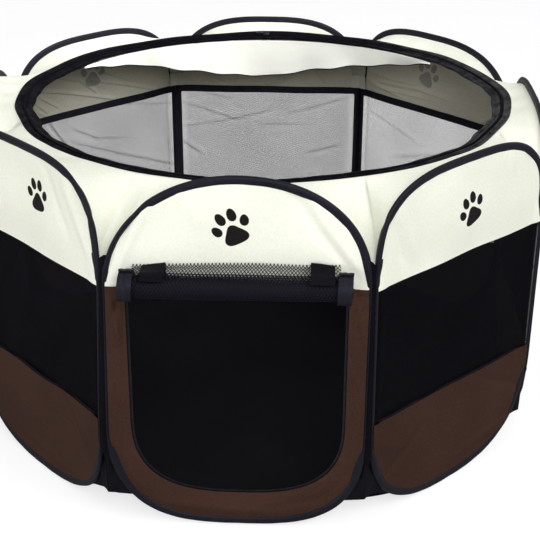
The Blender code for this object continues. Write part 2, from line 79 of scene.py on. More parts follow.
HEADING = {wall: math.radians(turn) for wall, turn in WALLS.items()}
SEED = {wall: number for number, wall in enumerate(WALLS)}
UP = np.array((0, 0, 1.0))
MM = 1000  # millimetres in a metre

# Thickness of the cloths and tapes
CLOTH = 0.0010
FACING_CLOTH = 0.0009
HEM_CLOTH = 0.0016
BAND_TAPE = 0.0013
FLOOR_SHEET = 0.0018
WEB_CLOTH = 0.0022
LINING_CLOTH = 0.0008
SEAM_TAPE = 0.0010
ROLL_TAPE = 0.0018
TAB_TAPE = 0.0012

# The arch of each wall: the wire's top, its roundness on the sides of -u and +u, and how far
# each shoulder leans out
ARCHES = {
    "front": (0.4435, 1.98, 2.20, 0.0, 0.0),
    "front_right": (0.4345, 3.30, 3.20, 0.0040, 0.0),
    "right": (0.4320, 3.00, 3.00, 0.0, 0.0),
    "back_right": (0.4365, 2.70, 3.20, 0.0, 0.0),
    "back": (0.4350, 2.90, 2.80, 0.0, 0.0),
    "back_left": (0.4330, 2.80, 3.20, 0.0, 0.0),
    "left": (0.4300, 3.00, 3.00, 0.0, 0.0),
    "front_left": (0.4430, 3.20, 3.60, 0.0, 0.0045),
}


def smooth(low, high, value):
    """0 below low, 1 above high, and an easy curve between."""
    share = np.clip((np.asarray(value, float) - low) / (high - low), 0, 1)
    return share * share * (3 - 2 * share)


def bump(middle, reach, value):
    """1 at the middle, falling to 0 at the given reach on either side."""
    return smooth(0, 1, 1 - np.abs(np.asarray(value, float) - middle) / reach)


def facing(wall):
    """The wall's direction outwards."""
    return np.array((math.cos(HEADING[wall]), math.sin(HEADING[wall]), 0.0))


def along(wall):
    """The wall's direction sideways, towards +u."""
    return np.array((-math.sin(HEADING[wall]), math.cos(HEADING[wall]), 0.0))


STANCE = 0.0078  # how far the corner at the front's left stands out sideways near the floor
STANCE_SHARES = {"front": (-1, 12), "front_left": (1, 4)}  # side, and how close to the corner it stays
STANCE_TOP, STANCE_RISE = 0.305, 0.17


def stance(wall, u, z):
    """How far a point near that corner is carried to the left: nothing at the top seam, most below."""
    side, power = STANCE_SHARES.get(wall, (0, 1))
    share = np.clip(side * u / CORNER, 0, 1) ** power
    return STANCE * share * np.clip((STANCE_TOP - z) / STANCE_RISE, 0, 1)


def place(wall, u, w, z):
    """Points of the scene from a wall's own u, w and z."""
    u, w, z = np.broadcast_arrays(np.asarray(u, float), np.asarray(w, float), np.asarray(z, float))
    carried = np.array((-1.0, 0.0, 0.0)) * stance(wall, u, z)[..., None]
    return facing(wall) * (APOTHEM + w)[..., None] + along(wall) * u[..., None] + carried + UP * z[..., None]


def stacked(*parts):
    """Points from their coordinates."""
    return np.stack(np.broadcast_arrays(*parts), axis=-1)


def unit(vectors):
    return vectors / np.maximum(np.linalg.norm(vectors, axis=-1, keepdims=True), 1e-12)


# Meshes

def make_object(name, verts, faces, materials, uv=None, indices=None):
    mesh = bpy.data.meshes.new(name)
    mesh.from_pydata([tuple(v) for v in verts], [], [tuple(f) for f in faces])
    for material in materials:
        mesh.materials.append(material)
    mesh.polygons.foreach_set("use_smooth", [True] * len(mesh.polygons))
    if indices is not None:
        mesh.polygons.foreach_set("material_index", [int(i) for i in indices])
    if uv is not None:
        layer = mesh.uv_layers.new(name="metres")
        loops = np.empty(len(mesh.loops), np.int32)
        mesh.loops.foreach_get("vertex_index", loops)
        layer.data.foreach_set("uv", np.asarray(uv, float)[loops].ravel())
    mesh.update()
    obj = bpy.data.objects.new(name, mesh)
    bpy.context.scene.collection.objects.link(obj)
    return obj


def grid_faces(rows, cols, wrap=False):
    """Quads of a grid whose points are numbered row by row."""
    row, col = np.meshgrid(np.arange(rows - 1), np.arange(cols if wrap else cols - 1), indexing="ij")
    after = (col + 1) % cols
    return stacked(row * cols + col, row * cols + after, (row + 1) * cols + after,
                   (row + 1) * cols + col).reshape(-1, 4)


def cloth(name, points, thickness, outside, materials, uv=None):
    """A closed sheet from a grid of its middle points. materials are those of its outer and inner side."""
    rows, cols = points.shape[:2]
    normal = unit(np.cross(np.gradient(points, axis=1), np.gradient(points, axis=0)))
    turned = (normal * outside).sum() < 0
    if turned:
        normal = -normal
    verts = np.concatenate([(points + normal * thickness / 2).reshape(-1, 3),
                            (points - normal * thickness / 2).reshape(-1, 3)])
    count = rows * cols
    outer = grid_faces(rows, cols)
    inner = outer[:, ::-1] + count
    border = np.concatenate([np.arange(cols), np.arange(1, rows) * cols + cols - 1,
                             (rows - 1) * cols + np.arange(cols - 2, -1, -1),
                             np.arange(rows - 2, 0, -1) * cols])
    after = np.roll(border, -1)
    rim = stacked(border, border + count, after + count, after)
    faces = np.concatenate([outer, inner, rim])
    if turned:
        faces = faces[:, ::-1]
    indices = np.concatenate([np.zeros(len(outer)), np.full(len(inner), len(materials) - 1),
                              np.zeros(len(rim))])
    flat = np.asarray(flat_uv(points) if uv is None else uv, float).reshape(-1, 2)
    made = make_object(name, verts, faces, materials, np.concatenate([flat, flat]), indices)
    on_border = np.zeros(2 * count, bool)
    on_border[border] = True
    on_border[border + count] = True
    ends = np.empty(2 * len(made.data.edges), np.int32)
    made.data.edges.foreach_get("vertices", ends)
    ends = ends.reshape(-1, 2)
    made.data.edges.foreach_set("use_edge_sharp", on_border[ends].all(axis=1))
    return made


def sweep(name, rings, materials, closed=True):
    """A solid through rings of points: a loop of them, or a bar with capped ends."""
    count, sides = rings.shape[:2]
    faces = [tuple(face) for face in grid_faces(count + closed, sides, wrap=True) % (count * sides)]
    if not closed:
        faces += [tuple(range(sides))[::-1], tuple((count - 1) * sides + k for k in range(sides))]
    return make_object(name, rings.reshape(-1, 3), faces, materials)


def length_along(points):
    """The distance from a line's start to each of its points."""
    return np.concatenate([[0], np.cumsum(np.linalg.norm(np.diff(points, axis=0), axis=1))])


def resample(points, count, closed=False):
    """Evenly spaced points along a line."""
    points = np.asarray(points, float)
    line = np.concatenate([points, points[:1]]) if closed else points
    at = length_along(line)
    wanted = np.linspace(0, at[-1], count + 1)[:-1] if closed else np.linspace(0, at[-1], count)
    return np.stack([np.interp(wanted, at, line[:, k]) for k in range(line.shape[1])], axis=1)


def flat_uv(points):
    """A UV in metres for a grid: distance along its middle row and up its middle column."""
    across = length_along(points[points.shape[0] // 2])
    up = length_along(points[:, points.shape[1] // 2])
    return stacked(across[None, :], up[:, None])


NET_PITCH = 0.0017
NET_STRAND = 0.000345  # half the width of a strand
NET_STEP, FOLDED_STEP = 0.020, 0.0045  # between the points of a strand
NET_LIFT = 0.45  # one set of strands lies over the other
NET_ANGLE = math.radians(60)
THINNER = 0.82  # the back right window shows more light


def net(name, low, high, shape, material, step=NET_STEP, pitch=NET_PITCH, strand=NET_STRAND):
    """A net of crossing strands. low and high are corners of the flat cloth, and shape(x, y) gives
    the points and normals that it takes up."""
    verts, faces, start = [], [], 0
    for sign in (1, -1):
        run = np.array((math.cos(NET_ANGLE), sign * math.sin(NET_ANGLE)))
        across = np.array((-run[1], run[0]))
        corners = np.array([(low[0], low[1]), (high[0], low[1]), (high[0], high[1]), (low[0], high[1])])
        reach = corners @ across
        for offset in np.arange(reach.min() + pitch / 2, reach.max(), pitch):
            foot = across * offset
            near = [(bound - foot[k]) / run[k] for k in (0, 1) for bound in (low[k], high[k])]
            first = max(min(near[0], near[1]), min(near[2], near[3]))
            last = min(max(near[0], near[1]), max(near[2], near[3]))
            if last - first < pitch:
                continue
            count = max(2, int(math.ceil((last - first) / step)) + 1)
            flat = foot + np.linspace(first, last, count)[:, None] * run
            points, normals = shape(flat[:, 0], flat[:, 1])
            tangent = unit(np.gradient(points, axis=0))
            side = unit(np.cross(normals, tangent))
            lift = normals * strand * NET_LIFT * sign
            ring = np.stack([points + lift + normals * strand, points + lift + side * strand,
                             points + lift - normals * strand, points + lift - side * strand], axis=1)
            verts.append(ring.reshape(-1, 3))
            quads = np.roll(grid_faces(count, 4, wrap=True)[:, ::-1], 1, axis=1)
            caps = np.array([[0, 1, 2, 3], [count * 4 - k for k in (1, 2, 3, 4)]])
            faces.append(np.concatenate([quads, caps]) + start)
            start += count * 4
    return make_object(name, np.concatenate(verts), np.concatenate(faces), [material])


def coil(name, points, normals, material, pitch=0.0013, wide=0.00135, high=0.00085, wire=0.00034, turns=8):
    """A zip's nylon coil along a line of points: a flattened spiral of thick thread."""
    at = length_along(points)
    count = int(at[-1] / pitch) * turns
    wanted = np.linspace(0, at[-1], count)
    line = np.stack([np.interp(wanted, at, points[:, k]) for k in range(3)], axis=1)
    up = unit(np.stack([np.interp(wanted, at, normals[:, k]) for k in range(3)], axis=1))
    forward = unit(np.gradient(line, axis=0))
    side = unit(np.cross(up, forward))
    angle = np.arange(count) * 2 * math.pi / turns
    spiral = line + side * (wide * np.cos(angle))[:, None] + up * (high * np.sin(angle))[:, None]
    run = unit(np.gradient(spiral, axis=0))
    first = unit(np.cross(run, forward))
    second = np.cross(run, first)
    corners = [0, 0.5 * math.pi, math.pi, 1.5 * math.pi]
    rings = np.stack([spiral + (first * math.cos(c) + second * math.sin(c)) * wire for c in corners], axis=1)
    return sweep(name, rings, [material], closed=False)


# Materials

def new_material(name):
    material = bpy.data.materials.new(name)
    material.use_nodes = True
    tree = material.node_tree
    return material, tree, tree.nodes["Principled BSDF"]


def feed(tree, made, inputs):
    """Fills a node's inputs: a socket is linked, anything else is a value."""
    for key, value in inputs.items():
        if isinstance(value, bpy.types.NodeSocket):
            tree.links.new(value, made.inputs[key])
        else:
            made.inputs[key].default_value = value


def node(tree, kind, inputs=None, **settings):
    made = tree.nodes.new(kind)
    for key, value in settings.items():
        setattr(made, key, value)
    feed(tree, made, inputs or {})
    return made


def noise(tree, scale, detail):
    here = node(tree, "ShaderNodeTexCoord").outputs["Object"]
    return node(tree, "ShaderNodeTexNoise", {"Vector": here, "Scale": scale, "Detail": detail}).outputs["Fac"]


def combine(tree, operation, first, second):
    return node(tree, "ShaderNodeMath", {0: first, 1: second}, operation=operation).outputs[0]


def remap(tree, value, low, high, to_low=0.0, to_high=1.0):
    return node(tree, "ShaderNodeMapRange", {"Value": value, "From Min": low, "From Max": high,
                                             "To Min": to_low, "To Max": to_high}).outputs[0]


def blended(tree, share, dark, light):
    """A colour between two, by a share."""
    return node(tree, "ShaderNodeMix", {"Factor": share, 6: (*dark, 1), 7: (*light, 1)},
                data_type="RGBA").outputs[2]


def relief(tree, height, strength, distance):
    return node(tree, "ShaderNodeBump", {"Height": height, "Strength": strength,
                                         "Distance": distance}).outputs["Normal"]


def weave_height(tree, size):
    """The height of a plain weave on the cloth's own UV, which is in metres."""
    uv = node(tree, "ShaderNodeUVMap", uv_map="metres").outputs["UV"]
    threads = [node(tree, "ShaderNodeTexWave", {"Vector": uv, "Scale": 1 / (size * math.pi)},
                    wave_type="BANDS", bands_direction=direction).outputs["Fac"] for direction in "XY"]
    return combine(tree, "MULTIPLY", *threads)


SHEEN_FROM, SHEEN_TO = 0.14, 0.30  # metres to the right of the middle over which the rim's tape gets a painted highlight: its gloss rises there, broken into streaks


def cloth_material(name, dark, light, roughness, weave=0.0007, depth=0.00012, specular=0.10, glow=0.0,
                   painted_sheen=None, tint=(1, 1, 1)):
    """Woven cloth: a weave, soft uneven colour and a slight gloss. Where asked, a painted highlight raises
    the gloss towards +X, in streaks.
    """
    material, tree, shader = new_material(name)
    broad = noise(tree, 9.0, 3.0)
    both = combine(tree, "ADD", broad, noise(tree, 420.0, 2.0))
    gloss = specular
    # painted highlight: the gloss rises towards +X and is broken into streaks, standing in for light caught
    # along the right side
    if painted_sheen is not None:
        here = node(tree, "ShaderNodeTexCoord").outputs["Object"]
        across = node(tree, "ShaderNodeSeparateXYZ", {"Vector": here}).outputs["X"]
        highlight_streaks = remap(tree, noise(tree, 55.0, 3.0), 0.42, 0.66, 0.45, 3.2)
        gloss = combine(tree, "MULTIPLY", remap(tree, across, SHEEN_FROM, SHEEN_TO, specular, painted_sheen), highlight_streaks)
    feed(tree, shader, {
        "Base Color": blended(tree, remap(tree, both, 0.72, 1.28), dark, light),
        "Roughness": remap(tree, broad, 0.3, 0.7, roughness - 0.06, roughness + 0.06),
        "Specular IOR Level": gloss,
        "Specular Tint": (*tint, 1),
        "Subsurface Weight": glow,
        "Subsurface Radius": (1.0, 0.9, 0.7),
        "Subsurface Scale": 0.0016,
        "Normal": relief(tree, weave_height(tree, weave), 0.5, depth),
    })
    return material


def grain_material(name, dark, light, scale, detail, strength, distance):
    """The base of thread and metal: a fine grain in colour and relief."""
    material, tree, shader = new_material(name)
    grain = noise(tree, scale, detail)
    feed(tree, shader, {"Base Color": blended(tree, grain, dark, light),
                        "Normal": relief(tree, grain, strength, distance)})
    return material, tree, shader, grain


def thread_material(name, dark, light, roughness, scale=900.0, specular=0.15):
    """Net strands and coils: fine thread with a little variation."""
    material, tree, shader, _ = grain_material(name, dark, light, scale, 2.0, 0.3, 0.0002)
    feed(tree, shader, {"Roughness": roughness, "Specular IOR Level": specular})
    return material


def metal_material(name, colour, roughness, metallic):
    """Painted or bare metal with fine scratches."""
    dark, light = [c * 0.75 for c in colour], [min(1, c * 1.25) for c in colour]
    material, tree, shader, grain = grain_material(name, dark, light, 260.0, 4.0, 0.15, 0.0001)
    rough = remap(tree, grain, 0.3, 0.7, roughness - 0.08, roughness + 0.12)
    feed(tree, shader, {"Roughness": rough, "Metallic": metallic})
    return material


BLUISH = (0.78, 0.81, 1.0)
CREAM = cloth_material("cream_cloth", (0.84, 0.855, 0.735), (0.93, 0.94, 0.83), 0.74, specular=0.2)
# painted shade: the inner side of the cream cloth is a darker copy of it, standing in for the shade inside
# the tent; its glow lets light through
CREAM_INSIDE_SHADED = cloth_material("cream_cloth_inside", (0.46, 0.456, 0.388), (0.55, 0.546, 0.466), 0.7,
                              glow=1.0)
# painted light: the facing is the same cream cloth, made paler than CREAM to stand in for the light it
# catches inside the rim
FACING = cloth_material("facing_cloth", (0.95, 0.955, 0.865), (0.99, 0.995, 0.92), 0.72, specular=0.2)
BROWN = cloth_material("brown_cloth", (0.038, 0.0180, 0.0127), (0.056, 0.0275, 0.0200), 0.72, specular=0.07)
BROWN_INSIDE = cloth_material("brown_cloth_inside", (0.022, 0.013, 0.011), (0.034, 0.021, 0.017), 0.7)
TAPE = cloth_material("binding_tape", (0.0072, 0.0068, 0.0106), (0.0136, 0.0129, 0.0196), 0.46,
                      weave=0.0011, depth=0.0002, specular=0.14, tint=BLUISH)
TAB = cloth_material("tab_cloth", (0.0030, 0.0029, 0.0044), (0.0060, 0.0057, 0.0084), 0.55,
                     weave=0.0011, depth=0.0002, specular=0.04)
FLOOR_CLOTH = cloth_material("floor_cloth", (0.0052, 0.0052, 0.0070), (0.0092, 0.0090, 0.0118), 0.62,
                             specular=0.05)
NET = thread_material("window_net", (0.0036, 0.0036, 0.0054), (0.0072, 0.0070, 0.0100), 0.55, specular=0.05)
# the rim's tape carries a painted highlight: more gloss, in streaks, along its right side
ZIP_TAPE = cloth_material("zip_tape", (0.0030, 0.0028, 0.0046), (0.0056, 0.0053, 0.0082), 0.34,
                          weave=0.0009, depth=0.00015, specular=0.004, painted_sheen=0.07, tint=BLUISH)
COIL = thread_material("zip_coil", (0.0080, 0.0080, 0.0130), (0.0150, 0.0150, 0.0230), 0.30, scale=500.0,
                       specular=0.35)
RIM_COIL = thread_material("rim_coil", (0.0036, 0.0036, 0.0056), (0.0070, 0.0070, 0.0105), 0.35, scale=500.0,
                           specular=0.06)
FLAP_NET = thread_material("flap_net", (0.0085, 0.0080, 0.0140), (0.0165, 0.0155, 0.0260), 0.45,
                           specular=0.14)
# painted shade: a darker paw on the inner side of the cloth stands in for the print's shadow showing through
PAW_SHADOW = cloth_material("painted_paw_shadow", (0.24, 0.235, 0.21), (0.33, 0.32, 0.28), 0.7, specular=0.05)
WIRE = metal_material("spring_wire", (0.42, 0.42, 0.43), 0.32, 1.0)
SLIDER = metal_material("zip_metal", (0.045, 0.045, 0.050), 0.33, 0.6)
PAW = cloth_material("printed_paw", (0.0075, 0.0065, 0.0065), (0.0130, 0.0110, 0.0105), 0.6, specular=0.1)


# Shapes of a wall

CURVE_POINTS, LINE_POINTS = 721, 400
LEAN_LOW, LEAN_HIGH = 0.27, 0.345


def rounded(value, power):
    return np.sign(value) * np.abs(value) ** (2 / power)


def lean(wall, u, z):
    """How far a point of the wall leans sideways near the arch's shoulders."""
    left, right = ARCHES[wall][3:]
    below = np.clip((z - FOOT_SEAM) / (ARCH_SEAM - FOOT_SEAM), 0, 1) * smooth(LEAN_LOW, LEAN_HIGH, ARCH_SEAM)
    share = np.where(np.asarray(z) < ARCH_SEAM, below, smooth(LEAN_LOW, LEAN_HIGH, z))
    return share * np.clip(np.abs(u) / HALF, 0, 1) ** 2 * np.where(np.asarray(u) < 0, -left, right)


def arch_line(wall, inset, count):
    """From the +u spring over the arch to the -u one, as (u, z)."""
    top, left, right = ARCHES[wall][:3]
    turn = np.linspace(0, math.pi, CURVE_POINTS)
    power = np.where(turn > math.pi / 2, left, right)
    u = (HALF - inset) * rounded(np.cos(turn), power)
    z = ARCH_SEAM + (top - ARCH_SEAM - inset) * rounded(np.maximum(np.sin(turn), 0), power)
    return resample(stacked(u + lean(wall, u, z), z), count)


def foot_line(half, spring, foot, power, count):
    """From the -u spring under the foot to the +u one, as (u, z)."""
    turn = np.linspace(0, math.pi, CURVE_POINTS)
    u = -half * rounded(np.cos(turn), power)
    z = spring - (spring - foot) * rounded(np.maximum(np.sin(turn), 0), power)
    return resample(stacked(u, z), count)


def foot_power(wall):
    return FRONT_FOOT_POWER if wall == "front" else FOOT_POWER


def hoop_line(wall, count, inset=0.0):
    arch = arch_line(wall, inset, LINE_POINTS)
    foot = foot_line(HALF - inset, FOOT_SEAM, HOOP_FOOT + inset, foot_power(wall), LINE_POINTS)
    return resample(np.concatenate([arch, foot]), count, closed=True)


SIDE_FOOT, SIDE_TOP = (0.085, 0.125), (0.305, 0.350)  # heights between which the sides begin and end


def sideness(z):
    """1 along the hoop's straight sides, 0 on its arch and foot."""
    return smooth(*SIDE_FOOT, z) * (1 - smooth(*SIDE_TOP, z))


WIRE_LIFT = 0.0023
WIRE_RAMP, EDGE_RAMP = (0.128, 0.1395), (0.132, 0.1425)  # where along u the cloth climbs and moves out


def side_lift(u, z):
    """The cloth passes over the outside of the hoop's wire along its straight sides."""
    return WIRE_LIFT * smooth(*WIRE_RAMP, np.abs(u)) * sideness(z)


def off_line(x, y, start, end):
    """Where points lie from a line: the share along it, the distance off it, and its direction."""
    start, end = np.array(start, float), np.array(end, float)
    run = end - start
    length = np.hypot(*run)
    run = run / length
    x, y = x - start[0], y - start[1]
    return (x * run[0] + y * run[1]) / length, y * run[0] - x * run[1], run


def faded(at, tail, ease=0.15):
    """1 along a line's middle, fading out past both of its ends."""
    return smooth(-tail, ease, at) * (1 - smooth(1 - ease, 1 + tail, at))


def crease(u, z, start, end, depth, width):
    """A soft fold along a line."""
    at, off, _ = off_line(u, z, start, end)
    return depth * faded(at, 0.35) * np.exp(-(off / width) ** 2)


def pinch(u, z, start, end, depth, width):
    """A narrow fold towards the inside, steep on its lower side."""
    at, off, run = off_line(u, z, start, end)
    off = off * (1 if run[0] > 0 else -1)
    side = np.where(off < 0, np.exp(-(off / (0.55 * width)) ** 2), np.exp(-(off / (2.4 * width)) ** 2))
    return -depth * faded(at, 0.12) * side


def folded(shape, u, z, folds):
    """The sum of folds that are given in millimetres, in metres."""
    return sum(shape(u * MM, z * MM, *fold) for fold in folds) / MM


# (start, end, depth, width) in millimetres for each wall's cream panel
UPPER_CREASES = {
    "front": [((-108, 412), (-141, 330), -2.6, 5.5), ((-100, 405), (-134, 335), 2.0, 7.0),
              ((62, 428), (112, 356), -1.8, 7.0), ((80, 420), (126, 348), 1.6, 8.0),
              ((96, 380), (136, 330), -1.5, 6.0), ((-60, 430), (-40, 395), 1.0, 8.0)],
    "front_left": [((-90, 425), (-50, 360), 1.8, 8.0), ((60, 428), (96, 366), -1.6, 7.0),
                   ((100, 420), (135, 350), 1.8, 7.0), ((-130, 350), (-80, 335), -1.2, 6.0)],
    "front_right": [((-130, 395), (-108, 340), -2.0, 6.0), ((-118, 405), (-92, 345), 1.6, 7.0),
                    ((70, 425), (100, 350), 1.5, 8.0), ((110, 410), (135, 345), -1.8, 7.0)],
    "back": [((100, 415), (120, 370), -2.0, 6.0), ((-128, 400), (-118, 360), 2.2, 6.0)],
    "back_left": [((60, 418), (10, 404), 1.6, 5.0), ((-100, 410), (-125, 370), 2.2, 6.0)],
    "back_right": [((-70, 425), (-20, 405), -1.8, 5.0), ((60, 420), (112, 392), -2.0, 5.5)],
    "right": [((-80, 420), (-40, 380), 1.8, 6.0), ((40, 425), (90, 370), -1.8, 6.5)],
    "left": [((-90, 415), (-55, 370), -1.8, 6.0), ((50, 425), (95, 375), 1.8, 6.5)],
}
# Pinched folds on the inside of the back walls, as (start, end, depth, width)
PINCHES = {
    "back": [((92, 347), (68, 331), 2.4, 1.5), ((0, 327), (-24, 334), 2.2, 1.5),
             ((-24, 334), (-51, 352), 2.4, 1.6), ((40, 352), (52, 330), 1.4, 1.6),
             ((-78, 350), (-96, 331), 1.4, 1.8)],
    "back_left": [((68, 378), (31, 366), 2.6, 1.6), ((33, 367), (4, 343), 2.4, 1.5),
                  ((112, 367), (38, 347), 2.8, 1.5), ((42, 348), (-30, 325), 2.8, 1.5),
                  ((30, 396), (-4, 376), 2.4, 1.6), ((-2, 377), (-56, 352), 2.2, 2.0),
                  ((12, 363), (-60, 342), 2.8, 1.6), ((-55, 343), (-108, 325), 2.2, 1.6),
                  ((118, 350), (96, 329), 2.2, 1.4), ((108, 356), (76, 334), 2.0, 1.4),
                  ((113, 334), (97, 324), 1.8, 1.3)],
    "back_right": [((110, 343), (34, 348), 1.8, 2.0), ((38, 349), (-40, 345), 1.8, 1.9),
                   ((138, 356), (80, 352), 1.8, 2.2), ((80, 352), (34, 355), 1.5, 2.2),
                   ((-10, 374), (-62, 376), 1.8, 1.8), ((125, 334), (10, 337), 1.6, 2.0),
                   ((138, 341), (62, 329), 1.8, 1.8), ((-96, 325), (-124, 343), 1.8, 1.6)],
}
LOWER_CREASES = {
    "front_left": [((-120, 120), (-60, 95), 1.6, 7.0), ((60, 130), (120, 60), -2.0, 8.0),
                   ((-40, 40), (50, 28), 1.5, 6.0), ((100, 110), (138, 80), 1.6, 6.0)],
    "front_right": [((-120, 60), (-60, 100), -1.8, 8.0), ((-135, 110), (-90, 90), 1.5, 6.0),
                    ((10, 30), (100, 42), 1.5, 6.0), ((60, 125), (125, 90), -1.6, 7.0)],
}


def waves(u, z, seed, depth):
    """Slow unevenness of hung cloth, different for each wall."""
    a = 0.7 * seed + 1.3
    return depth * (np.sin(u * 31 + z * 17 + a) * np.sin(z * 43 - u * 9 + 2.1 * a)
                    + 0.6 * np.sin(u * 57 - z * 29 + 3.3 * a) * np.sin(z * 21 + a))


BELLY, SLACK = 0.0032, 0.0012  # how far an upper panel stands out, and its slow unevenness
LOWER_BELLY, LOWER_SLACK = 0.0020, 0.0013
LOWER_SEED = 11


def upper_offset(wall, u, z):
    """How far an upper panel lies outside its hoop's plane."""
    height = np.maximum(z - ARCH_SEAM, 0) / (ARCHES[wall][0] - ARCH_SEAM)
    reach = np.clip(1 - (np.abs(u) / HALF) ** 2.4, 0, 1) * np.clip(1 - height ** 2.2, 0, 1)
    belly = BELLY * np.sqrt(reach) * smooth(ARCH_SEAM - 0.01, ARCH_SEAM + 0.05, z)
    folds = waves(u, z, SEED[wall], SLACK) * np.clip(reach * 2.2, 0, 1)
    folds = folds + folded(crease, u, z, UPPER_CREASES[wall]) * np.clip(reach * 4, 0, 1)
    held = np.clip(reach * 6, 0, 1) * smooth(ARCH_SEAM + 0.002, ARCH_SEAM + 0.010, z)
    return belly + folds + folded(pinch, u, z, PINCHES.get(wall, ())) * held + side_lift(u, z)


def lower_offset(wall, u, z):
    """How far a lower panel lies outside its hoop's plane."""
    reach = np.clip(1 - (np.abs(u) / HALF) ** 3, 0, 1) * np.clip((z - HOOP_FOOT) / 0.05, 0, 1)
    folds = waves(u, z, SEED[wall] + LOWER_SEED, LOWER_SLACK) * np.clip(reach * 2, 0, 1)
    folds = folds + folded(crease, u, z, LOWER_CREASES.get(wall, ())) * np.clip(reach * 4, 0, 1)
    return LOWER_BELLY * np.sqrt(reach) + folds + side_lift(u, z)


EDGE = 0.0008  # the cloth's edge, inside the wire's centre line
SIDE_EDGE = 0.0014  # on the straight sides it lies over the wire instead
SEAM_LAP, NET_LAP = 0.004, 0.003  # how far a cloth and a net run past their seams
UPPER_GRID, PINCHED_GRID, LOWER_GRID = (161, 60), (341, 130), (121, 34)  # columns and rows


def edge_shift(u, z):
    """Carries the cloth's edge out over the wire along the straight sides."""
    return np.sign(u) * (EDGE + SIDE_EDGE) * smooth(*EDGE_RAMP, np.abs(u)) * sideness(z)


def between(lower, upper, rows):
    """A grid of rows from one line of points to another."""
    share = np.linspace(0, 1, rows)[:, None, None]
    return lower[None] * (1 - share) + upper[None] * share


def dress(made, body, replaced=None):
    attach(made, body)
    if replaced:
        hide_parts(replaced)


def patch(wall, foot, top, rows, offset, label, materials):
    """A cloth panel of a wall between two lines of (u, z) points."""
    flat = between(foot, top, rows)
    u, z = flat[..., 0], flat[..., 1]
    points = place(wall, u + edge_shift(u, z), offset(wall, u, z), z)
    made = cloth("%s_cloth_%s" % (label, wall), points, CLOTH, facing(wall), materials, flat)
    dress(made, wall + "_wall", "%s_panel_%s" % (label, wall))


# The tape's section in millimetres: shares across it, and half its thickness on the arch and on the sides
TAPE_ACROSS = np.array([0.0, 0.13, 0.27, 0.42, 0.58, 0.74, 0.88, 1.0])
ARCH_HALF = np.array([1.0, 2.35, 2.75, 3.0, 2.95, 2.6, 1.9, 0.6])
SIDE_OUT = np.array([1.0, 1.70, 1.72, 1.74, 1.85, 3.0, 2.9, 1.0])
SIDE_IN = np.array([1.3, 2.7, 3.0, 3.1, 3.05, 2.8, 2.2, 1.0])
TAPE_HALF = 5.0
PUCKER = 0.35
TAPE_POINTS = 300  # round the hoop
WIRE_POINTS, WIRE_SIDES = 240, 10
# Where the tape turns over: from and to which height in millimetres, by how many degrees, and on which side
TWISTS = {"front": (334, 411, 72, -1), "front_left": (392, 430, 60, 1), "front_right": (334, 396, 66, -1)}


def tape_twist(wall, line):
    """The tape's turn at each point of its hoop, in radians."""
    low, high, angle, side = TWISTS.get(wall, (0, 0, 0, 1))
    height = line[:, 1] * MM
    here = (line[:, 0] > 0) == (side > 0)
    return math.radians(angle) * here * smooth(low - 8, low + 12, height) * (
        1 - smooth(high - 12, high + 6, height))


def build_binding(wall):
    """The folded tape round the hoop, narrower along the sides, turning on itself in a few places."""
    count = TAPE_POINTS
    line = hoop_line(wall, count)
    tangent = unit(np.roll(line, -1, axis=0) - np.roll(line, 1, axis=0))
    outward = stacked(tangent[:, 1], -tangent[:, 0])
    side = sideness(line[:, 1])[:, None]
    turn = np.arange(count)[:, None] / count * 2 * math.pi
    pucker = PUCKER * np.sin(turn * 37 + SEED[wall]) * np.sin(turn * 11 + 2 * SEED[wall])
    inner, front = 2.9 * side - TAPE_HALF, 4.4 * side ** 0.8 - TAPE_HALF
    outer = TAPE_HALF - 0.8 * side
    back_x, front_x = inner + (outer - inner) * TAPE_ACROSS, front + (outer - front) * TAPE_ACROSS
    out = ARCH_HALF * (1 - side) + SIDE_OUT * side + pucker * (1 - side) * 0.5
    back = ARCH_HALF * (1 - side) + SIDE_IN * side
    x = np.concatenate([front_x[:, :-1], back_x[:, ::-1]], axis=1)
    height = np.concatenate([out[:, :-1], -back[:, ::-1]], axis=1)
    twist = tape_twist(wall, line)[:, None]
    a = (x * np.cos(twist) - height * np.sin(twist)) / MM
    b = (x * np.sin(twist) + height * np.cos(twist)) / MM
    made = sweep("binding_" + wall, place(wall, line[:, :1] + outward[:, :1] * a, b,
                                          line[:, 1:] + outward[:, 1:] * a), [TAPE])
    dress(made, wall + "_wall", "edge_binding_" + wall)


def build_wire(wall):
    """The spring wire, inside the tape all the way round."""
    line = hoop_line(wall, WIRE_POINTS)
    tangent = unit(np.roll(line, -1, axis=0) - np.roll(line, 1, axis=0))
    turn = -np.arange(WIRE_SIDES)[None] / WIRE_SIDES * 2 * math.pi
    reach = WIRE_RADIUS * np.cos(turn)
    u = line[:, :1] + tangent[:, 1:] * reach
    z = line[:, 1:] - tangent[:, :1] * reach
    made = sweep("spring_hoop_" + wall, place(wall, u, WIRE_RADIUS * np.sin(turn), z), [WIRE])
    dress(made, wall + "_wall", "hoop_wire_" + wall)


DROP_LEFT, DROP_RIGHT = 0.0065, 0.0040
DROP_RAMP = (0.112, 0.128)


def seam_drop(wall, u):
    """How much lower the front's seam lies beside the rolled flap."""
    if wall != "front":
        return 0.0 * u
    return np.where(u < 0, DROP_LEFT, DROP_RIGHT) * smooth(*DROP_RAMP, np.abs(u))


def build_upper(wall):
    columns, rows = PINCHED_GRID if wall in PINCHES else UPPER_GRID
    u = (HALF - EDGE) * np.linspace(1, -1, columns)
    foot = stacked(u, ARCH_SEAM - SEAM_LAP - seam_drop(wall, u))
    foot[:, 0] += lean(wall, foot[:, 0], foot[:, 1])
    patch(wall, foot, arch_line(wall, EDGE, columns), rows, upper_offset, "upper", [CREAM, CREAM_INSIDE_SHADED])


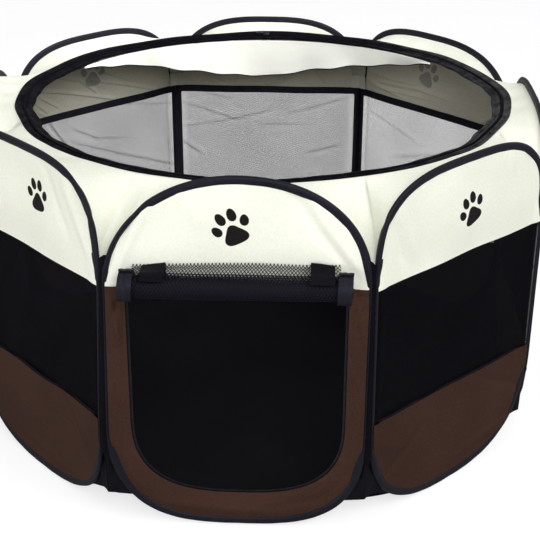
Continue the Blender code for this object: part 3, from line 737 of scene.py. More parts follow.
def build_lower(wall):
    columns, rows = LOWER_GRID
    foot = foot_line(HALF - EDGE, FOOT_SEAM, HOOP_FOOT + EDGE, foot_power(wall), columns)
    u = (HALF - EDGE) * np.linspace(-1, 1, columns)
    top = stacked(u, FOOT_SEAM + SEAM_LAP)
    patch(wall, foot, top, rows, lower_offset, "lower", [BROWN, BROWN_INSIDE])


# (start, end, width) in millimetres of the soft folds in each wall's net
NET_FOLDS = {
    "back_left": [((51, 294), (10, 271), 5.0), ((10, 271), (-62, 254), 4.5), ((62, 277), (-34, 234), 5.5),
                  ((-34, 234), (-138, 190), 7.0), ((-30, 318), (-140, 296), 5.0),
                  ((93, 312), (61, 262), 4.5)],
    "back": [((141, 296), (50, 268), 5.0), ((142, 254), (73, 265), 4.5), ((73, 265), (-2, 284), 5.0),
             ((10, 260), (-56, 261), 5.5), ((-66, 211), (-119, 226), 6.0), ((-41, 281), (-139, 310), 4.5),
             ((146, 231), (112, 208), 6.0), ((111, 314), (60, 305), 4.5)],
    "back_right": [((120, 290), (20, 262), 6.0), ((60, 230), (-40, 262), 7.0)],
}


def gathered(x, y, folds):
    """Draws the net's strands a little together along each fold."""
    for start, end, width in folds:
        width = width / MM
        at, off, run = off_line(x, y, np.array(start) / MM, np.array(end) / MM)
        pull = 0.45 * faded(at, 0.25, 0.2) * off * np.exp(-(off / width) ** 2)
        x, y = x + run[1] * pull, y - run[0] * pull
    return x, y


NET_SEED = 23


def build_window(wall):
    seed = SEED[wall] + NET_SEED

    def shape(x, y):
        w = waves(x, y, seed, 0.0016) * np.clip(1 - (np.abs(x) / HALF) ** 4, 0, 1) - 0.0012
        w = w + side_lift(x, y)
        stretch = 0.0009 * np.sin(x * 38 + seed) * np.sin(y * 26 + seed)
        x, y = gathered(x, y, NET_FOLDS.get(wall, ()))
        points = place(wall, x + edge_shift(x, y) + lean(wall, x, y) + stretch, w, y)
        return points, np.broadcast_to(facing(wall), points.shape)

    half = HALF - EDGE
    made = net("window_net_" + wall, (-half, FOOT_SEAM - NET_LAP), (half, ARCH_SEAM + NET_LAP), shape, NET,
               step=FOLDED_STEP if wall in NET_FOLDS else NET_STEP,
               strand=NET_STRAND * (THINNER if wall == "back_right" else 1))
    dress(made, wall + "_wall", "mesh_window_" + wall)


for name in WALLS:
    build_wire(name)
    build_binding(name)
    build_upper(name)
    if name != "front":
        build_window(name)
        build_lower(name)

# Roof: collar, rim band and coil

BAND_INNER = 0.300
BAND_WIDTH = 0.024
BAND_HEIGHT = 0.4227
BAND_DROP = 0.0042
RIM_DRAWN = 0.0110  # the slack roof lets the rim sit this far to the right
TUCK = -0.0028  # cloth sewn along the inside of the hoops
VALLEY_FOOT = 0.3430  # the lowest point of the cream cloth between two arches
COLLAR_INSET = 0.0042  # from the hoop's wire to the collar's outer edge
COLLAR_LAP, COLLAR_UNDER = 0.0015, 0.0011  # how far it runs in under the band, and below it
RIM_COIL_LIFT = 0.0011
COLLAR_GRID, BAND_GRID = (73, 22), (65, 17)  # columns and rows


def fold_flat(made):
    """Gives the cloth its own copy of its mesh."""
    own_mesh(made)


def loose_sheet(made, wall, replaced=None):
    dress(made, wall + "_wall", replaced)
    fold_flat(made)


def rim_scallop(angle):
    """The soft rim is drawn out a little towards each arch and in at each corner."""
    return 0.0018 * np.cos(8 * angle) + 0.0006 * np.sin(19 * angle + 0.7)


def rim_height(angle):
    return 0.0008 * np.sin(5 * angle + 0.4) + 0.0006 * np.sin(13 * angle)


def rim_point(radius, height, angle):
    r = radius + rim_scallop(angle)
    return stacked(RIM_DRAWN + r * np.cos(angle), r * np.sin(angle), height + rim_height(angle))


def band_section(share):
    """Height across the band, from its inner edge to its outer one: two tapes with the coil between."""
    slope = BAND_HEIGHT + BAND_DROP * (share - 0.5)
    fold = -0.0012 * np.exp(-(share / 0.12) ** 2) + 0.0005 * np.sin(share * 6 * math.pi)
    return slope + fold


def rim_hem(angle):
    """The band's inner hem is uneven, most of all along its left side."""
    even = 0.0011 * np.sin(37 * angle) * np.sin(7 * angle + 1) - 0.0010 * np.sin(16 * angle + 2.0)
    turn = np.degrees(angle % (2 * math.pi))
    return even - 0.0026 * bump(158, 42, turn) * np.abs(np.sin(11 * angle + 0.5)) ** 0.7


def rim_pleats(angle, share):
    """The slack band gathers in pleats along its right side."""
    turn = np.degrees((angle + math.pi) % (2 * math.pi) - math.pi)
    pleats = 0.0016 * np.sin(share * 7 * math.pi + 0.03 * turn) - 0.0012 * (1 - share)
    return bump(-18, 55, turn) * pleats * np.sin(math.pi * share) ** 0.5


def build_collar(wall):
    """The roof's cloth from inside one arch up to the rim."""
    columns, rows = COLLAR_GRID
    arch = arch_line(wall, COLLAR_INSET, LINE_POINTS)
    arch = resample(arch[arch[:, 1] > VALLEY_FOOT + 0.004], columns)
    corner = (APOTHEM + TUCK) * math.tan(HALF_CORNER)
    outer = place(wall, np.concatenate([[corner], arch[:, 0], [-corner]]), TUCK,
                  np.concatenate([[VALLEY_FOOT], arch[:, 1], [VALLEY_FOOT]]))
    relative = np.arctan2(outer @ along(wall), outer @ facing(wall))
    inner = rim_point(BAND_INNER + BAND_WIDTH - COLLAR_LAP, BAND_HEIGHT + BAND_DROP / 2 - COLLAR_UNDER,
                      relative + HEADING[wall])
    share = np.linspace(0, 1, rows)[:, None]
    points = between(outer, inner, rows)
    hang = np.sin(math.pi * share)
    edge = 1 - np.clip(np.abs(relative) / HALF_CORNER, 0, 1) ** 2.4
    ripple = 0.0011 * np.sin(relative * 46 + 1.7 * SEED[wall]) * (0.4 + 0.6 * share)
    fold = 0.0006 * np.exp(-((np.abs(relative) - 0.26) / 0.05) ** 2)
    points[..., 2] += hang * (edge * (ripple - 0.0020) + fold)
    made = cloth("collar_" + wall, points, CLOTH, facing(wall) * 0.5 + UP, [CREAM, CREAM_INSIDE_SHADED])
    loose_sheet(made, wall, "roof_collar")


def build_rim(wall):
    """The band round the opening, and the zip's coil along its middle."""
    columns, rows = BAND_GRID
    angles = HEADING[wall] + np.linspace(-HALF_CORNER, HALF_CORNER, columns)
    points = np.stack([rim_point(BAND_INNER + BAND_WIDTH * share + rim_hem(angles) * (1 - share) ** 2,
                                 band_section(share) + rim_pleats(angles, share), angles)
                       for share in np.linspace(0, 1, rows)])
    made = cloth("rim_band_" + wall, points, BAND_TAPE, UP, [ZIP_TAPE])
    loose_sheet(made, wall, "rim_zip_band")
    line = rim_point(BAND_INNER + BAND_WIDTH * 0.5, band_section(0.5) + RIM_COIL_LIFT, angles)
    made = coil("rim_coil_" + wall, line, np.broadcast_to(UP, line.shape), RIM_COIL)
    loose_sheet(made, wall)


for name in WALLS:
    build_collar(name)
    build_rim(name)


# Facing inside the back of the rim

FACING_START, FACING_END = math.radians(38), math.radians(153)
FACING_TOP = BAND_HEIGHT - BAND_DROP / 2 - 0.0020
FACING_GRID = (61, 18)
FACING_EASE = 12  # points over which its lower edge is smoothed, to either side
# How far the cloth hangs, in millimetres, by degrees round the rim
FACING_DROPS = ((38, 2), (46, 14), (56, 24), (67, 34), (80, 47), (88, 57), (97, 58), (108, 50), (121, 37),
                (130, 24), (142, 14), (153, 2))


def build_facing(wall):
    """The loose cloth that hangs inside the rim, with its dark hem."""
    first = max(FACING_START, HEADING[wall] - HALF_CORNER)
    last = min(FACING_END, HEADING[wall] + HALF_CORNER)
    columns, rows = FACING_GRID
    angles = np.linspace(first, last, columns)
    turn, hang = np.array(FACING_DROPS, float).T
    fine = np.radians(np.linspace(turn[0], turn[-1], 400))
    rough = np.interp(np.degrees(fine), turn, hang)
    window = np.hanning(2 * FACING_EASE + 1)
    eased = np.convolve(np.pad(rough, FACING_EASE, mode="edge"), window / window.sum(), mode="valid")
    drop = np.interp(angles, fine, eased) / MM - 0.0015 + 0.0010 * np.sin(angles * 31 + 0.5)
    drop = np.maximum(drop, 0.0012)
    down = np.linspace(0, 1, rows)[:, None]
    sway = 0.0016 * np.sin(angles * 23 + 1.0) * down ** 1.5 + 0.0022 * np.sin(angles * 9) * down ** 2
    radius = BAND_INNER - 0.0020 + sway
    points = stacked(RIM_DRAWN + radius * np.cos(angles), radius * np.sin(angles), FACING_TOP - drop * down)
    made = cloth("facing_" + wall, points, FACING_CLOTH, -facing(wall), [FACING])
    loose_sheet(made, wall, "back_facing")
    hem = np.stack([points[-1] + UP * 0.0004, points[-1] - UP * 0.0011]) - facing(wall) * 0.0002
    made = cloth("facing_hem_" + wall, hem, HEM_CLOTH, -facing(wall), [TAPE])
    loose_sheet(made, wall)


for name in ("back_right", "back", "back_left"):
    build_facing(name)


# Floor and gussets

FLOOR_LIFT = 0.0012
INNER_APOTHEM = APOTHEM - 0.0062
GUSSET_TOP = 0.115
GUSSET_FOOT = 0.038
FLOOR_LAP = 0.0025  # the floor runs on under the gusset
FLOOR_GRID = (41, 44)
GUSSET_POINTS, GUSSET_ROWS = 85, 8


def floor_edge(relative):
    """The radius of the floor's edge: nearly a circle, drawn in at the corners."""
    return INNER_APOTHEM - 0.0070 - 0.018 * (relative / HALF_CORNER) ** 2


def build_floor(wall):
    columns, rows = FLOOR_GRID
    relative = np.linspace(-HALF_CORNER, HALF_CORNER, columns)
    share = np.linspace(0.002, 1, rows)[:, None]
    radius = (floor_edge(relative) + FLOOR_LAP)[None] * share
    angles = HEADING[wall] + relative
    x, y = radius * np.cos(angles), radius * np.sin(angles)
    uneven = 0.0006 * (1 + np.sin(x * 41 + 1.1) * np.sin(y * 37 + 0.4)) * np.sin(math.pi * share) ** 0.5
    points = stacked(x, y, FLOOR_LIFT + uneven)
    made = cloth("floor_" + wall, points, FLOOR_SHEET, UP, [FLOOR_CLOTH], points[..., :2])
    loose_sheet(made, wall, "floor_sheet")


GUSSET_INSIDE, GUSSET_OVER = -0.0040, -0.0021  # w at the gusset's turn and along its upper edge
GUSSET_GROUND = 0.0019


def corner_ends(w, middle):
    """A row of u values with the wall's corners, at the given w, as its ends."""
    end = (APOTHEM + w) * math.tan(HALF_CORNER)
    return np.concatenate([[-end], middle, [end]])


def build_gusset(wall):
    """The cloth that joins the rounded foot of a panel to the floor."""
    foot = foot_line(HALF, FOOT_SEAM, HOOP_FOOT, foot_power(wall), LINE_POINTS)
    foot = resample(foot[foot[:, 1] < GUSSET_TOP + 0.004], GUSSET_POINTS)
    u = corner_ends(GUSSET_INSIDE, foot[:, 0])
    z = np.concatenate([[GUSSET_TOP], np.minimum(foot[:, 1], GUSSET_TOP), [GUSSET_TOP]])
    relative = np.arctan2(u, INNER_APOTHEM)
    relative[0], relative[-1] = -HALF_CORNER, HALF_CORNER
    upper = place(wall, corner_ends(GUSSET_OVER, foot[:, 0]), GUSSET_OVER, z)
    edge = place(wall, u, GUSSET_INSIDE, np.minimum(z - 0.0030, GUSSET_FOOT))
    angle = HEADING[wall] + relative
    ring = floor_edge(relative)
    ground = stacked(ring * np.cos(angle), ring * np.sin(angle), GUSSET_GROUND)
    points = np.concatenate([between(ground, edge, GUSSET_ROWS), between(edge, upper, GUSSET_ROWS)[1:]])
    share = np.abs(relative) / HALF_CORNER
    near_corner = smooth(0.75, 0.95, share) * (1 - smooth(0.985, 1.0, share))
    wave = 0.0016 * np.sin(points[..., 2] * 160 + SEED[wall]) * near_corner
    points = points - facing(wall) * wave[..., None]
    made = cloth("gusset_" + wall, points, CLOTH, facing(wall), [FLOOR_CLOTH])
    loose_sheet(made, wall, "floor_gusset_strip")


for name in WALLS:
    build_floor(name)
    build_gusset(name)


# Corners and inner seam tapes

WEB_FOOT = 0.096
WEB_TOP = 0.3530
WEB_REACH = 0.0046
WEB_NOTCH = 0.0060
WEB_HEIGHTS = np.linspace(WEB_FOOT, WEB_TOP, 81)
STITCH = 0.011  # the web puckers a little at each
LINING_DEPTH = -0.0047


def in_order(first, second):
    """The two walls of a corner, the one on its -u side first."""
    step = (WALLS[second] - WALLS[first] + 180) % 360 - 180
    return (first, second) if step > 0 else (second, first)


def web_reach(z):
    """How far the web laps over either hoop: further where the arches part."""
    return WEB_REACH + 0.0050 * smooth(0.322, WEB_TOP, z)


def web_dip(z, shares):
    """The web's upper edge is cut to a V between the arches."""
    return WEB_NOTCH * smooth(0.325, WEB_TOP, z) * (1 - np.minimum(np.abs(shares) / 0.6, 1))


def corner_surface(first, second, shares, reach, heights, w):
    """Points across a corner. Shares of the reach below 0 lie on the first wall, the others on the second."""
    bend = w * math.tan(HALF_CORNER)
    return np.array([[place(first, CORNER + bend + s * far, w, z) if s < 0
                      else place(second, -CORNER - bend + s * far, w, z) for s in shares]
                     for z, far in zip(heights, reach)])


def blend_corner(made, first, second, reach, z):
    tuple(place(first, CORNER - reach, 0.0, z))
    tuple(place(second, -CORNER + reach, 0.0, z))
    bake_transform(made)


def build_web(first, second):
    """The stitched cloth between two hoops."""
    first, second = in_order(first, second)
    shares = np.array([-1.0, -0.7, -0.4, -0.15, 0.15, 0.4, 0.7, 1.0])
    points = corner_surface(first, second, shares, web_reach(WEB_HEIGHTS), WEB_HEIGHTS, 0.0)
    middle = unit(facing(first) + facing(second))
    pucker = 0.0005 * np.sin(WEB_HEIGHTS * 2 * math.pi / STITCH)[:, None] * np.cos(shares * math.pi / 2)
    points = points + middle * (pucker + 0.0004)[..., None]
    points[..., 2] -= web_dip(WEB_HEIGHTS[:, None], shares)
    made = cloth("corner_web_%s_%s" % (first, second), points, WEB_CLOTH, middle, [TAB])
    blend_corner(made, first, second, WEB_REACH, (WEB_FOOT + WEB_TOP) / 2)


def build_half_web(wall, side):
    """Half of the open corner's web: it stays on its own wall."""
    shares = np.array([0.03, 0.35, 0.70, 1.0])
    reach = shares * web_reach(WEB_HEIGHTS)[:, None]
    points = place(wall, side * (CORNER - reach), 0.0008, WEB_HEIGHTS[:, None])
    points[..., 2] -= web_dip(WEB_HEIGHTS[:, None], shares)
    made = cloth("half_web_" + wall, points, WEB_CLOTH, facing(wall), [TAB])
    dress(made, wall + "_wall")


def build_lining(first, second, low, high, reach, material, slot, name, rides=None):
    """A strip down the inside of a corner, over both hoops."""
    first, second = in_order(first, second)
    shares = np.array([-1.0, -0.75, -0.5, -0.25, -0.05, 0.05, 0.25, 0.5, 0.75, 1.0])
    heights = np.linspace(low, high, 50 if high - low > 0.1 else 14)
    points = corner_surface(first, second, shares, np.full(len(heights), reach), heights, LINING_DEPTH)
    middle = -unit(facing(first) + facing(second))
    rounding = 0.0012 * (1 - np.abs(shares)) + 0.0004 * np.sin(heights * 240)[:, None] * (1 - shares ** 2)
    made = cloth(name, points + middle * rounding[..., None], LINING_CLOTH, middle, [material])
    if rides:
        dress(made, rides + "_wall")
        return
    blend_corner(made, first, second, reach, (low + high) / 2)


# Foot, top, reach, material and slot of the strips down the corners; the lining runs on past the seam
LINING = (0.3262, 0.3468, 0.0126, CREAM_INSIDE_SHADED, "cream_cloth")
CORNER_TAPE = (WEB_FOOT, 0.3205, 0.0060, TAPE, "binding")

for one, other in HINGES:
    build_web(one, other)
build_half_web("back", 1)
build_half_web("back_left", -1)
for one, other in HINGES:
    build_lining(one, other, *LINING, "corner_lining_%s_%s" % (one, other))
build_lining("back", "back_left", *LINING, "corner_lining_back", rides="back")
build_lining("back", "back_left", *CORNER_TAPE, "corner_tape_back", rides="back")

SEAM_TAPE_WIDTH = 0.011


def build_seam_tape(wall, seam, offset, label):
    """A tape sewn over the inside of a seam between two cloths."""
    u = np.linspace(-HALF + 0.0010, HALF - 0.0010, 91)
    rise = np.linspace(-SEAM_TAPE_WIDTH / 2, SEAM_TAPE_WIDTH / 2, 5)[:, None]
    z = seam + rise - seam_drop(wall, u)
    u = u + 0 * rise
    w = offset(wall, u, z) - side_lift(u, z)
    u = u + lean(wall, u, z)
    w = w - 0.0019 + 0.0003 * np.sin(u * 230 + seam * 90) * np.cos(rise / SEAM_TAPE_WIDTH * math.pi)
    made = cloth("seam_tape_%s_%s" % (label, wall), place(wall, u, w, z), SEAM_TAPE, -facing(wall), [TAPE],
                 stacked(u, z))
    dress(made, wall + "_wall")


for name in WALLS:
    build_seam_tape(name, ARCH_SEAM, upper_offset, "upper")
    if name != "front":
        build_seam_tape(name, FOOT_SEAM, lower_offset, "lower")


# The doorway

DOOR_HALF = HALF - 0.0175
DOOR_FOOT = 0.044
DOOR_SPRING = 0.150
DOOR_POWER = 2.8
DOOR_POINTS = 241
ZIP_IN, ZIP_OUT = 0.0042, -0.0035  # the zip's tapes, inside and outside the doorway's line
DOOR_CREASES = [((-139, 304), (-133, 258), 3.4, 2.6), ((-133, 300), (-139, 268), -2.8, 2.6),
                ((-130, 290), (-132, 210), 1.8, 3.2), ((134, 302), (139, 262), 3.0, 2.6),
                ((139, 298), (134, 270), -2.6, 2.4), ((131, 290), (132, 220), 1.5, 3.2),
                ((-140, 130), (-120, 60), 1.5, 6.0), ((100, 40), (140, 90), -1.5, 6.0),
                ((-80, 30), (20, 22), 1.4, 5.0), ((40, 26), (110, 44), -1.3, 5.0)]


def door_line(inset, top, count):
    half = DOOR_HALF - inset
    bend = foot_line(half, DOOR_SPRING, DOOR_FOOT + inset, DOOR_POWER, 300)
    return resample(np.concatenate([[(-half, top)], bend, [(half, top)]]), count)


def build_surround():
    """The brown cloth round the doorway."""
    top, columns, rows, half = ARCH_SEAM + NET_LAP, DOOR_POINTS, 13, HALF - EDGE
    foot = foot_line(half, FOOT_SEAM, HOOP_FOOT + EDGE, foot_power("front"), 300)
    outer = resample(np.concatenate([[(-half, top)], foot, [(half, top)]]), columns)
    flat = between(door_line(0.0026, top, columns), outer, rows)
    u, z = flat[..., 0], flat[..., 1]
    z = z - seam_drop("front", u) * smooth(0.270, top, z)
    share = np.linspace(0, 1, rows)[:, None]
    arc, straight = np.sin(math.pi * share), sideness(z)
    w = 0.0016 + (0.0012 * arc - 0.0015 * smooth(0.6, 1.0, share)) * (1 - straight)
    w = w + waves(u, z, 5, 0.0012) * arc
    w = w + folded(crease, u, z, DOOR_CREASES) * arc * (1 - smooth(0.296, 0.307, z))
    w = w + np.maximum(side_lift(u, z) - 0.0008 * straight * share, 0) * 0.7
    points = place("front", u + edge_shift(u, z), w, z)
    made = cloth("door_surround_cloth", points, CLOTH, facing("front"), [BROWN, BROWN_INSIDE],
                 stacked(u, z))
    dress(made, "front_wall", "door_surround")


def build_door_zip():
    """The zip's two tapes round the doorway, and the coil between them."""
    top = ARCH_SEAM - 0.0006
    flat = between(door_line(ZIP_IN, top, DOOR_POINTS), door_line(ZIP_OUT, top, DOOR_POINTS), 5)
    made = cloth("door_zip_cloth", place("front", flat[..., 0], 0.0, flat[..., 1]), BAND_TAPE,
                 facing("front"), [ZIP_TAPE], flat)
    dress(made, "front_wall", "door_zip_tape")
    line = door_line(0.0044, top - 0.001, 700)
    path = place("front", line[:, 0], 0.0007, line[:, 1])
    made = coil("door_zip_coil", path, np.broadcast_to(facing("front"), path.shape), COIL, wide=0.00125)
    dress(made, "front_wall")


build_surround()
build_door_zip()


# The rolled flap, its top layer and tabs

ROLL_AXIS_Z = ARCH_SEAM + 0.011
ROLL_AXIS_Y = -(APOTHEM + 0.0006 + 0.0009 + 0.0195)
ROLL_RADIUS = 0.0150
ROLL_END_RADIUS = 0.0195
ROLL_CORE = 0.0030
ROLL_TURNS = 5
ROLL_END = DOOR_HALF + 0.0008
ROLL_LOW = 0.0030  # the soft roll hangs this much below its place, and more at its left end
FLAP_PITCH, FLAP_STRAND = 0.0034, 0.00044
END_TAPE = 0.0155
FLAP_REACH = ROLL_END - END_TAPE + 0.0015  # half the net's width: it runs in under the end tapes


def spiral_at(distance, outer):
    """Radius, angle and whole length of the rolled sheet at a distance from its outer end."""
    share = np.linspace(0, 1, 1201)
    radius = outer + (ROLL_CORE - outer) * share
    angle = math.pi / 2 - 2 * math.pi * ROLL_TURNS * share
    step = np.hypot(np.diff(radius), radius[:-1] * np.diff(angle))
    at = np.concatenate([[0], np.cumsum(step)])
    return np.interp(distance, at, radius), np.interp(distance, at, angle), float(at[-1])


ROLL_SHEET = spiral_at(0.0, ROLL_RADIUS - 0.0005)[2]
END_SHEET = spiral_at(0.0, ROLL_END_RADIUS - 0.0011)[2]


def roll_droop(x):
    share = np.clip(x / ROLL_END, -1, 1)
    return ROLL_LOW + 0.0008 * np.cos(share * math.pi / 2) + 0.0010 * np.maximum(-share, 0)


def round_roll(x, radius, angle):
    """Points on the sagging roll, by the place along it, the radius and the angle."""
    return stacked(x, ROLL_AXIS_Y + radius * np.cos(angle),
                   ROLL_AXIS_Z + radius * np.sin(angle) - roll_droop(x))


def roll_place(x, y):
    """The rolled flap: x along the roll, y the distance round it from its outer end."""
    radius, angle, _ = spiral_at(y, ROLL_RADIUS - 0.0010)
    soft = 1 + 0.035 * np.sin(2 * angle + x * 9) + 0.03 * np.sin(x * 61 + 0.6) * np.cos(angle)
    normals = stacked(0.0, np.cos(angle), np.sin(angle))
    return round_roll(x, radius * np.minimum(soft, 1.03), angle), normals


def build_roll():
    made = net("flap_roll_net", (-FLAP_REACH, 0.0), (FLAP_REACH, ROLL_SHEET), roll_place, FLAP_NET,
               step=0.0042, pitch=FLAP_PITCH, strand=FLAP_STRAND)
    dress(made, "door_roll", "door_flap_roll")
    inner = ROLL_END - END_TAPE
    for side, label in ((-1, "left"), (1, "right")):
        x = side * np.linspace(inner, ROLL_END, 15)[:, None]
        radius, angle, _ = spiral_at(np.linspace(0, END_SHEET, 201), ROLL_END_RADIUS - 0.0013)
        across = (np.abs(x) - inner) / END_TAPE
        bulge = 0.0005 * np.sin(across * math.pi) - 0.0007 * np.exp(-((across - 0.62) / 0.10) ** 2)
        points = round_roll(x, radius[None] + bulge - 0.0004, angle)
        slip = 0.0012 * np.sin(angle * 0.9 + 0.4 * side)
        points[..., 0] = x + slip * 0.8 - side * 0.0008
        made = cloth("flap_end_tape_" + label, points, ROLL_TAPE, UP, [TAPE])
        dress(made, "door_roll", "door_edge_tape_" + label)


FLAP_SEAM, FLAP_HEM = 0.3460, 0.004  # the seam's height, and how much of the cloth is sewn in


def build_flap_top():
    """The single layer from its seam on the wall, out and down to the roll."""
    face = -(APOTHEM + 0.0052)
    roll_y, roll_z = ROLL_AXIS_Y, ROLL_AXIS_Z + ROLL_RADIUS - 0.0006 - ROLL_LOW
    run = math.hypot(roll_y - face, roll_z - FLAP_SEAM)
    total = run + 2 * FLAP_HEM

    def shape(x, y):
        """y runs down the cloth from its sewn edge."""
        top = FLAP_SEAM + 0.0036 + 0.0005 * np.sin(x * 60 + 0.4) - 0.0040 * smooth(0.02, 0.10, -x)
        share = np.clip((y - FLAP_HEM) / run, 0, 1)
        over = np.clip(y - FLAP_HEM - run, 0, None)
        depth = np.where(y < FLAP_HEM, face, face + (roll_y - face) * share) - over * 0.9
        z = np.where(y < FLAP_HEM, top - y, (top - FLAP_HEM) * (1 - share) + roll_z * share)
        z = z + 0.0012 * np.sin(math.pi * share) - over * 0.25
        tilt = smooth(0.0, 0.3, share)
        return stacked(x, depth, z), unit(stacked(0.0, -1 + 0.7 * tilt, 0.15 + 0.85 * tilt))

    made = net("flap_top_net", (-FLAP_REACH, 0.0), (FLAP_REACH, total), shape, FLAP_NET, step=0.004,
               pitch=FLAP_PITCH, strand=FLAP_STRAND)
    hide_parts("door_flap_top")
    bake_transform(made)


TAB_FOOT, TAB_HALF = 0.3085, 0.013
TABS = (("left", -0.0895, 0.3466, 0.0020), ("right", 0.094, 0.3505, -0.0016))  # middle, crest, tilt


def tab_path(crest):
    """From behind the roll up the wall, folded over the net's seam and out over the roll, as (w, z)."""
    centre = (-ROLL_AXIS_Y - APOTHEM, ROLL_AXIS_Z - ROLL_LOW)
    over = ROLL_RADIUS + 0.0016
    crown = [(centre[0] + over * math.sin(turn), centre[1] + over * math.cos(turn))
             for turn in np.radians(np.linspace(-8, 50, 9))]
    wall = [(0.0046, TAB_FOOT), (0.0046, crest - 0.0020), (0.0052, crest - 0.0004), (0.0064, crest),
            (0.0080, crest - 0.0006)]
    return resample(np.array(wall + crown), 49)


def build_tabs():
    across = np.linspace(-TAB_HALF, TAB_HALF, 13)
    for label, centre, crest, tilt in TABS:
        path = tab_path(crest)
        share = np.linspace(0, 1, len(path))[:, None]
        w = path[:, :1] + 0.0003 * np.sin(across * 300 + share * 9)
        z = path[:, 1:] + tilt * across / TAB_HALF * bump(0.60, 0.30, share)
        made = cloth("door_tab_strip_" + label, place("front", centre + across, w, z), TAB_TAPE,
                     facing("front"), [TAB])
        dress(made, "front_wall", "door_tab_" + label)


build_roll()
build_flap_top()
build_tabs()


# Printed paws, a plain generic figure

# Each blob: centre across and up, half width, half height, turn in degrees, in shares of the figure
PAW_TOES = ((-0.410, 0.090, 0.125, 0.165, 22), (-0.165, 0.375, 0.128, 0.190, 7),
            (0.170, 0.375, 0.128, 0.190, -7), (0.415, 0.090, 0.125, 0.165, -22))
PAW_PRINTS = (
    ("front", -0.004, 0.389, 0.0400, 27), ("front_left", 0.040, 0.389, 0.0365, 4),
    ("front_right", 0.004, 0.3705, 0.0390, 24), ("back_left", 0.009, 0.373, 0.0390, 6),
    ("back_right", 0.012, 0.376, 0.0390, 20), ("right", 0.0, 0.385, 0.0390, 4),
    ("left", 0.0, 0.385, 0.0390, -5), ("back", 0.0, 0.384, 0.0390, 6),
)
PRINT_BRIDGE = (-0.0013, 0.0, 0.0013)
PRINT_OUTSIDE, PRINT_INSIDE = 0.00022, 0.00045  # how far the print stands off the cloth outside, and its painted shadow inside
PRINT_RINGS = 7


def toe_outline(count):
    turn = np.linspace(0, 2 * math.pi, count, endpoint=False)
    return stacked(np.cos(turn) * (1 - 0.10 * np.sin(turn)), np.sin(turn))


def pad_outline(count):
    """A soft three-lobed cushion, wider at its foot."""
    turn = np.linspace(0, 2 * math.pi, count, endpoint=False)
    radius = 1 + 0.10 * np.cos(3 * (turn - math.pi / 2))
    x = np.cos(turn) * radius * (1 - 0.22 * np.sin(turn))
    y = np.sin(turn) * radius * 0.92
    return stacked(x, y)


def blob(outline, wall, centre, size, turned, side):
    """A thin raised print that follows the cloth, or on its inner side the print's painted shadow, as verts,
    faces and UV.
    """
    count = len(outline)
    cos, sin = math.cos(turned), math.sin(turned)
    flat = [np.zeros((1, 2))] + [outline * (k + 1) / PRINT_RINGS for k in range(PRINT_RINGS)]
    flat = np.concatenate(flat) * size
    u = centre[0] + flat[:, 0] * cos - flat[:, 1] * sin
    z = centre[1] + flat[:, 0] * sin + flat[:, 1] * cos
    middle = upper_offset(wall, u, z)
    if side > 0 and wall in PINCHES:
        # outside, the print bridges the cloth's narrow folds
        middle = np.maximum.reduce([upper_offset(wall, u + across, z + up)
                                    for across in PRINT_BRIDGE for up in PRINT_BRIDGE])
    base = place(wall, u, middle + side * (CLOTH / 2 + 0.00002), z)
    top = place(wall, u, middle + side * (CLOTH / 2 + (PRINT_OUTSIDE if side > 0 else PRINT_INSIDE)), z)
    faces = []
    for k in range(count):
        faces.append((0, 1 + k, 1 + (k + 1) % count))
        for ring in range(PRINT_RINGS - 1):
            a, b = 1 + ring * count + k, 1 + ring * count + (k + 1) % count
            faces.append((a, a + count, b + count, b))
    if side < 0:
        faces = [tuple(reversed(face)) for face in faces]
    total = len(base)
    under = [tuple(i + total for i in reversed(face)) for face in faces]
    last = 1 + (PRINT_RINGS - 1) * count
    rim = [(last + k, last + k + total, last + (k + 1) % count + total, last + (k + 1) % count)
           for k in range(count)]
    return np.concatenate([top, base]), faces + under + rim, np.concatenate([stacked(u, z)] * 2)


PAD = (0.0, -0.210, 0.315, 0.315, 0)
TOE_POINTS, PAD_POINTS = 24, 56


def build_paw(wall, u, z, size, turned, side, name, material):
    verts, faces, uvs = [], [], []
    turned = math.radians(turned)
    cos, sin = math.cos(turned), math.sin(turned)
    blobs = [(toe_outline(TOE_POINTS), toe) for toe in PAW_TOES] + [(pad_outline(PAD_POINTS), PAD)]
    for outline, (x, y, wide, high, angle) in blobs:
        centre = (u + (x * cos - y * sin) * size, z + (x * sin + y * cos) * size)
        made, shape, uv = blob(outline, wall, centre, np.array((wide, high)) * size,
                               turned + math.radians(angle), side)
        start = sum(len(v) for v in verts)
        verts.append(made)
        uvs.append(uv)
        faces += [tuple(i + start for i in face) for face in shape]
    made = make_object(name, np.concatenate(verts), faces, [material], np.concatenate(uvs))
    dress(made, wall + "_wall")


for wall, u, z, size, turned in PAW_PRINTS:
    build_paw(wall, u, z, size, turned, 1, "paw_" + wall, PAW)
    # painted shade: a darker copy of the print on the inner side stands in for its shadow showing faintly
    # through the cloth
    build_paw(wall, u, z, size, turned, -1, "paw_shadow_" + wall, PAW_SHADOW)


# Nodes carried over from the frame

def repaint(name, material):
    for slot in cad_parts[name].material_slots:
        slot.material = material


for label in ("door_zip_left", "door_zip_right", "rim_zip"):
    for piece in ("_slider", "_pull"):
        repaint(label + piece, SLIDER)
for piece in ("rim_zip_slider", "rim_zip_pull"):
    fold_flat(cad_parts[piece])


# Camera, light and floor

LENS, SENSOR = 80.55, 36.0  # millimetres
CLIP_START = 0.05
CAMERA_AT = (0.088, -1.548, 0.904)
CAMERA_HEADING, CAMERA_DOWN, CAMERA_ROLL = 2.49, 25.48, 0.19  # degrees
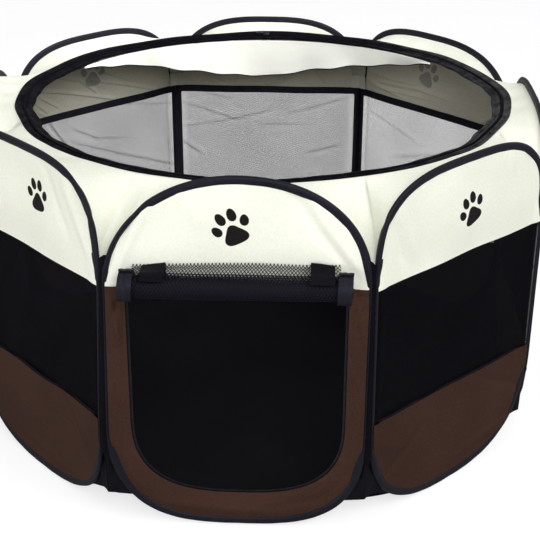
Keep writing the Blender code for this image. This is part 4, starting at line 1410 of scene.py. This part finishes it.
# Each lamp: place, aim, size in metres, power in watts, spread in degrees
LAMPS = {
    "key": ((0.6, -2.7, 2.15), (0, 0, 0.2), 1.8, 39.5, 180),
    "right": ((1.9, -1.5, 2.2), (0, 0, 0.2), 1.5, 24, 180),
    "low_left": ((-1.9, -1.9, 0.45), (-0.2, -0.2, 0.25), 1.0, 17.5, 180),
    "inside": ((0.68, -0.20, 1.45), (-0.22, 0.26, 0.36), 0.4, 0.70, 36),
}
WORLD_LIGHT, WORLD_SEEN = 0.57, 1.0
STUDIO_HALF, STUDIO_LOW = 6.0, -0.0012
STUDIO_GREY = (0.42, 0.42, 0.42, 1)
STUDIO_SEEN = 0.70
WHITE = (1, 1, 1, 1)


def rotation(degrees, axis):
    return Matrix.Rotation(math.radians(degrees), 4, axis)


def add_camera():
    data = bpy.data.cameras.new("camera")
    data.sensor_width = SENSOR
    data.lens = LENS
    data.clip_start = CLIP_START
    camera = bpy.data.objects.new("camera", data)
    bpy.context.scene.collection.objects.link(camera)
    turn = rotation(CAMERA_HEADING, "Z") @ rotation(90 - CAMERA_DOWN, "X") @ rotation(CAMERA_ROLL, "Z")
    camera.matrix_world = Matrix.Translation(CAMERA_AT) @ turn
    bpy.context.scene.camera = camera


def add_lamp(name, position, target, size, power, spread):
    data = bpy.data.lights.new(name, "AREA")
    data.shape = "DISK"
    data.size = size
    data.energy = power
    data.spread = math.radians(spread)
    lamp = bpy.data.objects.new(name, data)
    bpy.context.scene.collection.objects.link(lamp)
    lamp.location = position
    lamp.rotation_euler = (Vector(target) - Vector(position)).to_track_quat("-Z", "Y").to_euler()


def white_where_seen(tree, lit, seen):
    """A strength that is high to the camera and lower where it lights the rest."""
    path = node(tree, "ShaderNodeLightPath")
    return remap(tree, path.outputs["Is Camera Ray"], 0.0, 1.0, lit, seen)


def add_world():
    world = bpy.data.worlds.new("studio")
    world.use_nodes = True
    bpy.context.scene.world = world
    tree = world.node_tree
    feed(tree, tree.nodes["Background"], {"Color": WHITE,
                                          "Strength": white_where_seen(tree, WORLD_LIGHT, WORLD_SEEN)})


def add_floor():
    corners = [(x * STUDIO_HALF, y * STUDIO_HALF, STUDIO_LOW)
               for x, y in ((-1, -1), (1, -1), (1, 1), (-1, 1))]
    material, tree, shader = new_material("studio_floor")
    glow = white_where_seen(tree, 0.0, STUDIO_SEEN)
    feed(tree, shader, {"Base Color": STUDIO_GREY, "Roughness": 0.9, "Specular IOR Level": 0.0,
                        "Emission Color": WHITE, "Emission Strength": glow})
    make_object("studio_floor", corners, [(0, 1, 2, 3)], [material])


add_camera()
add_world()
add_floor()
for name, lamp in LAMPS.items():
    add_lamp(name, *lamp)
bpy.context.scene.view_settings.view_transform = "Standard"
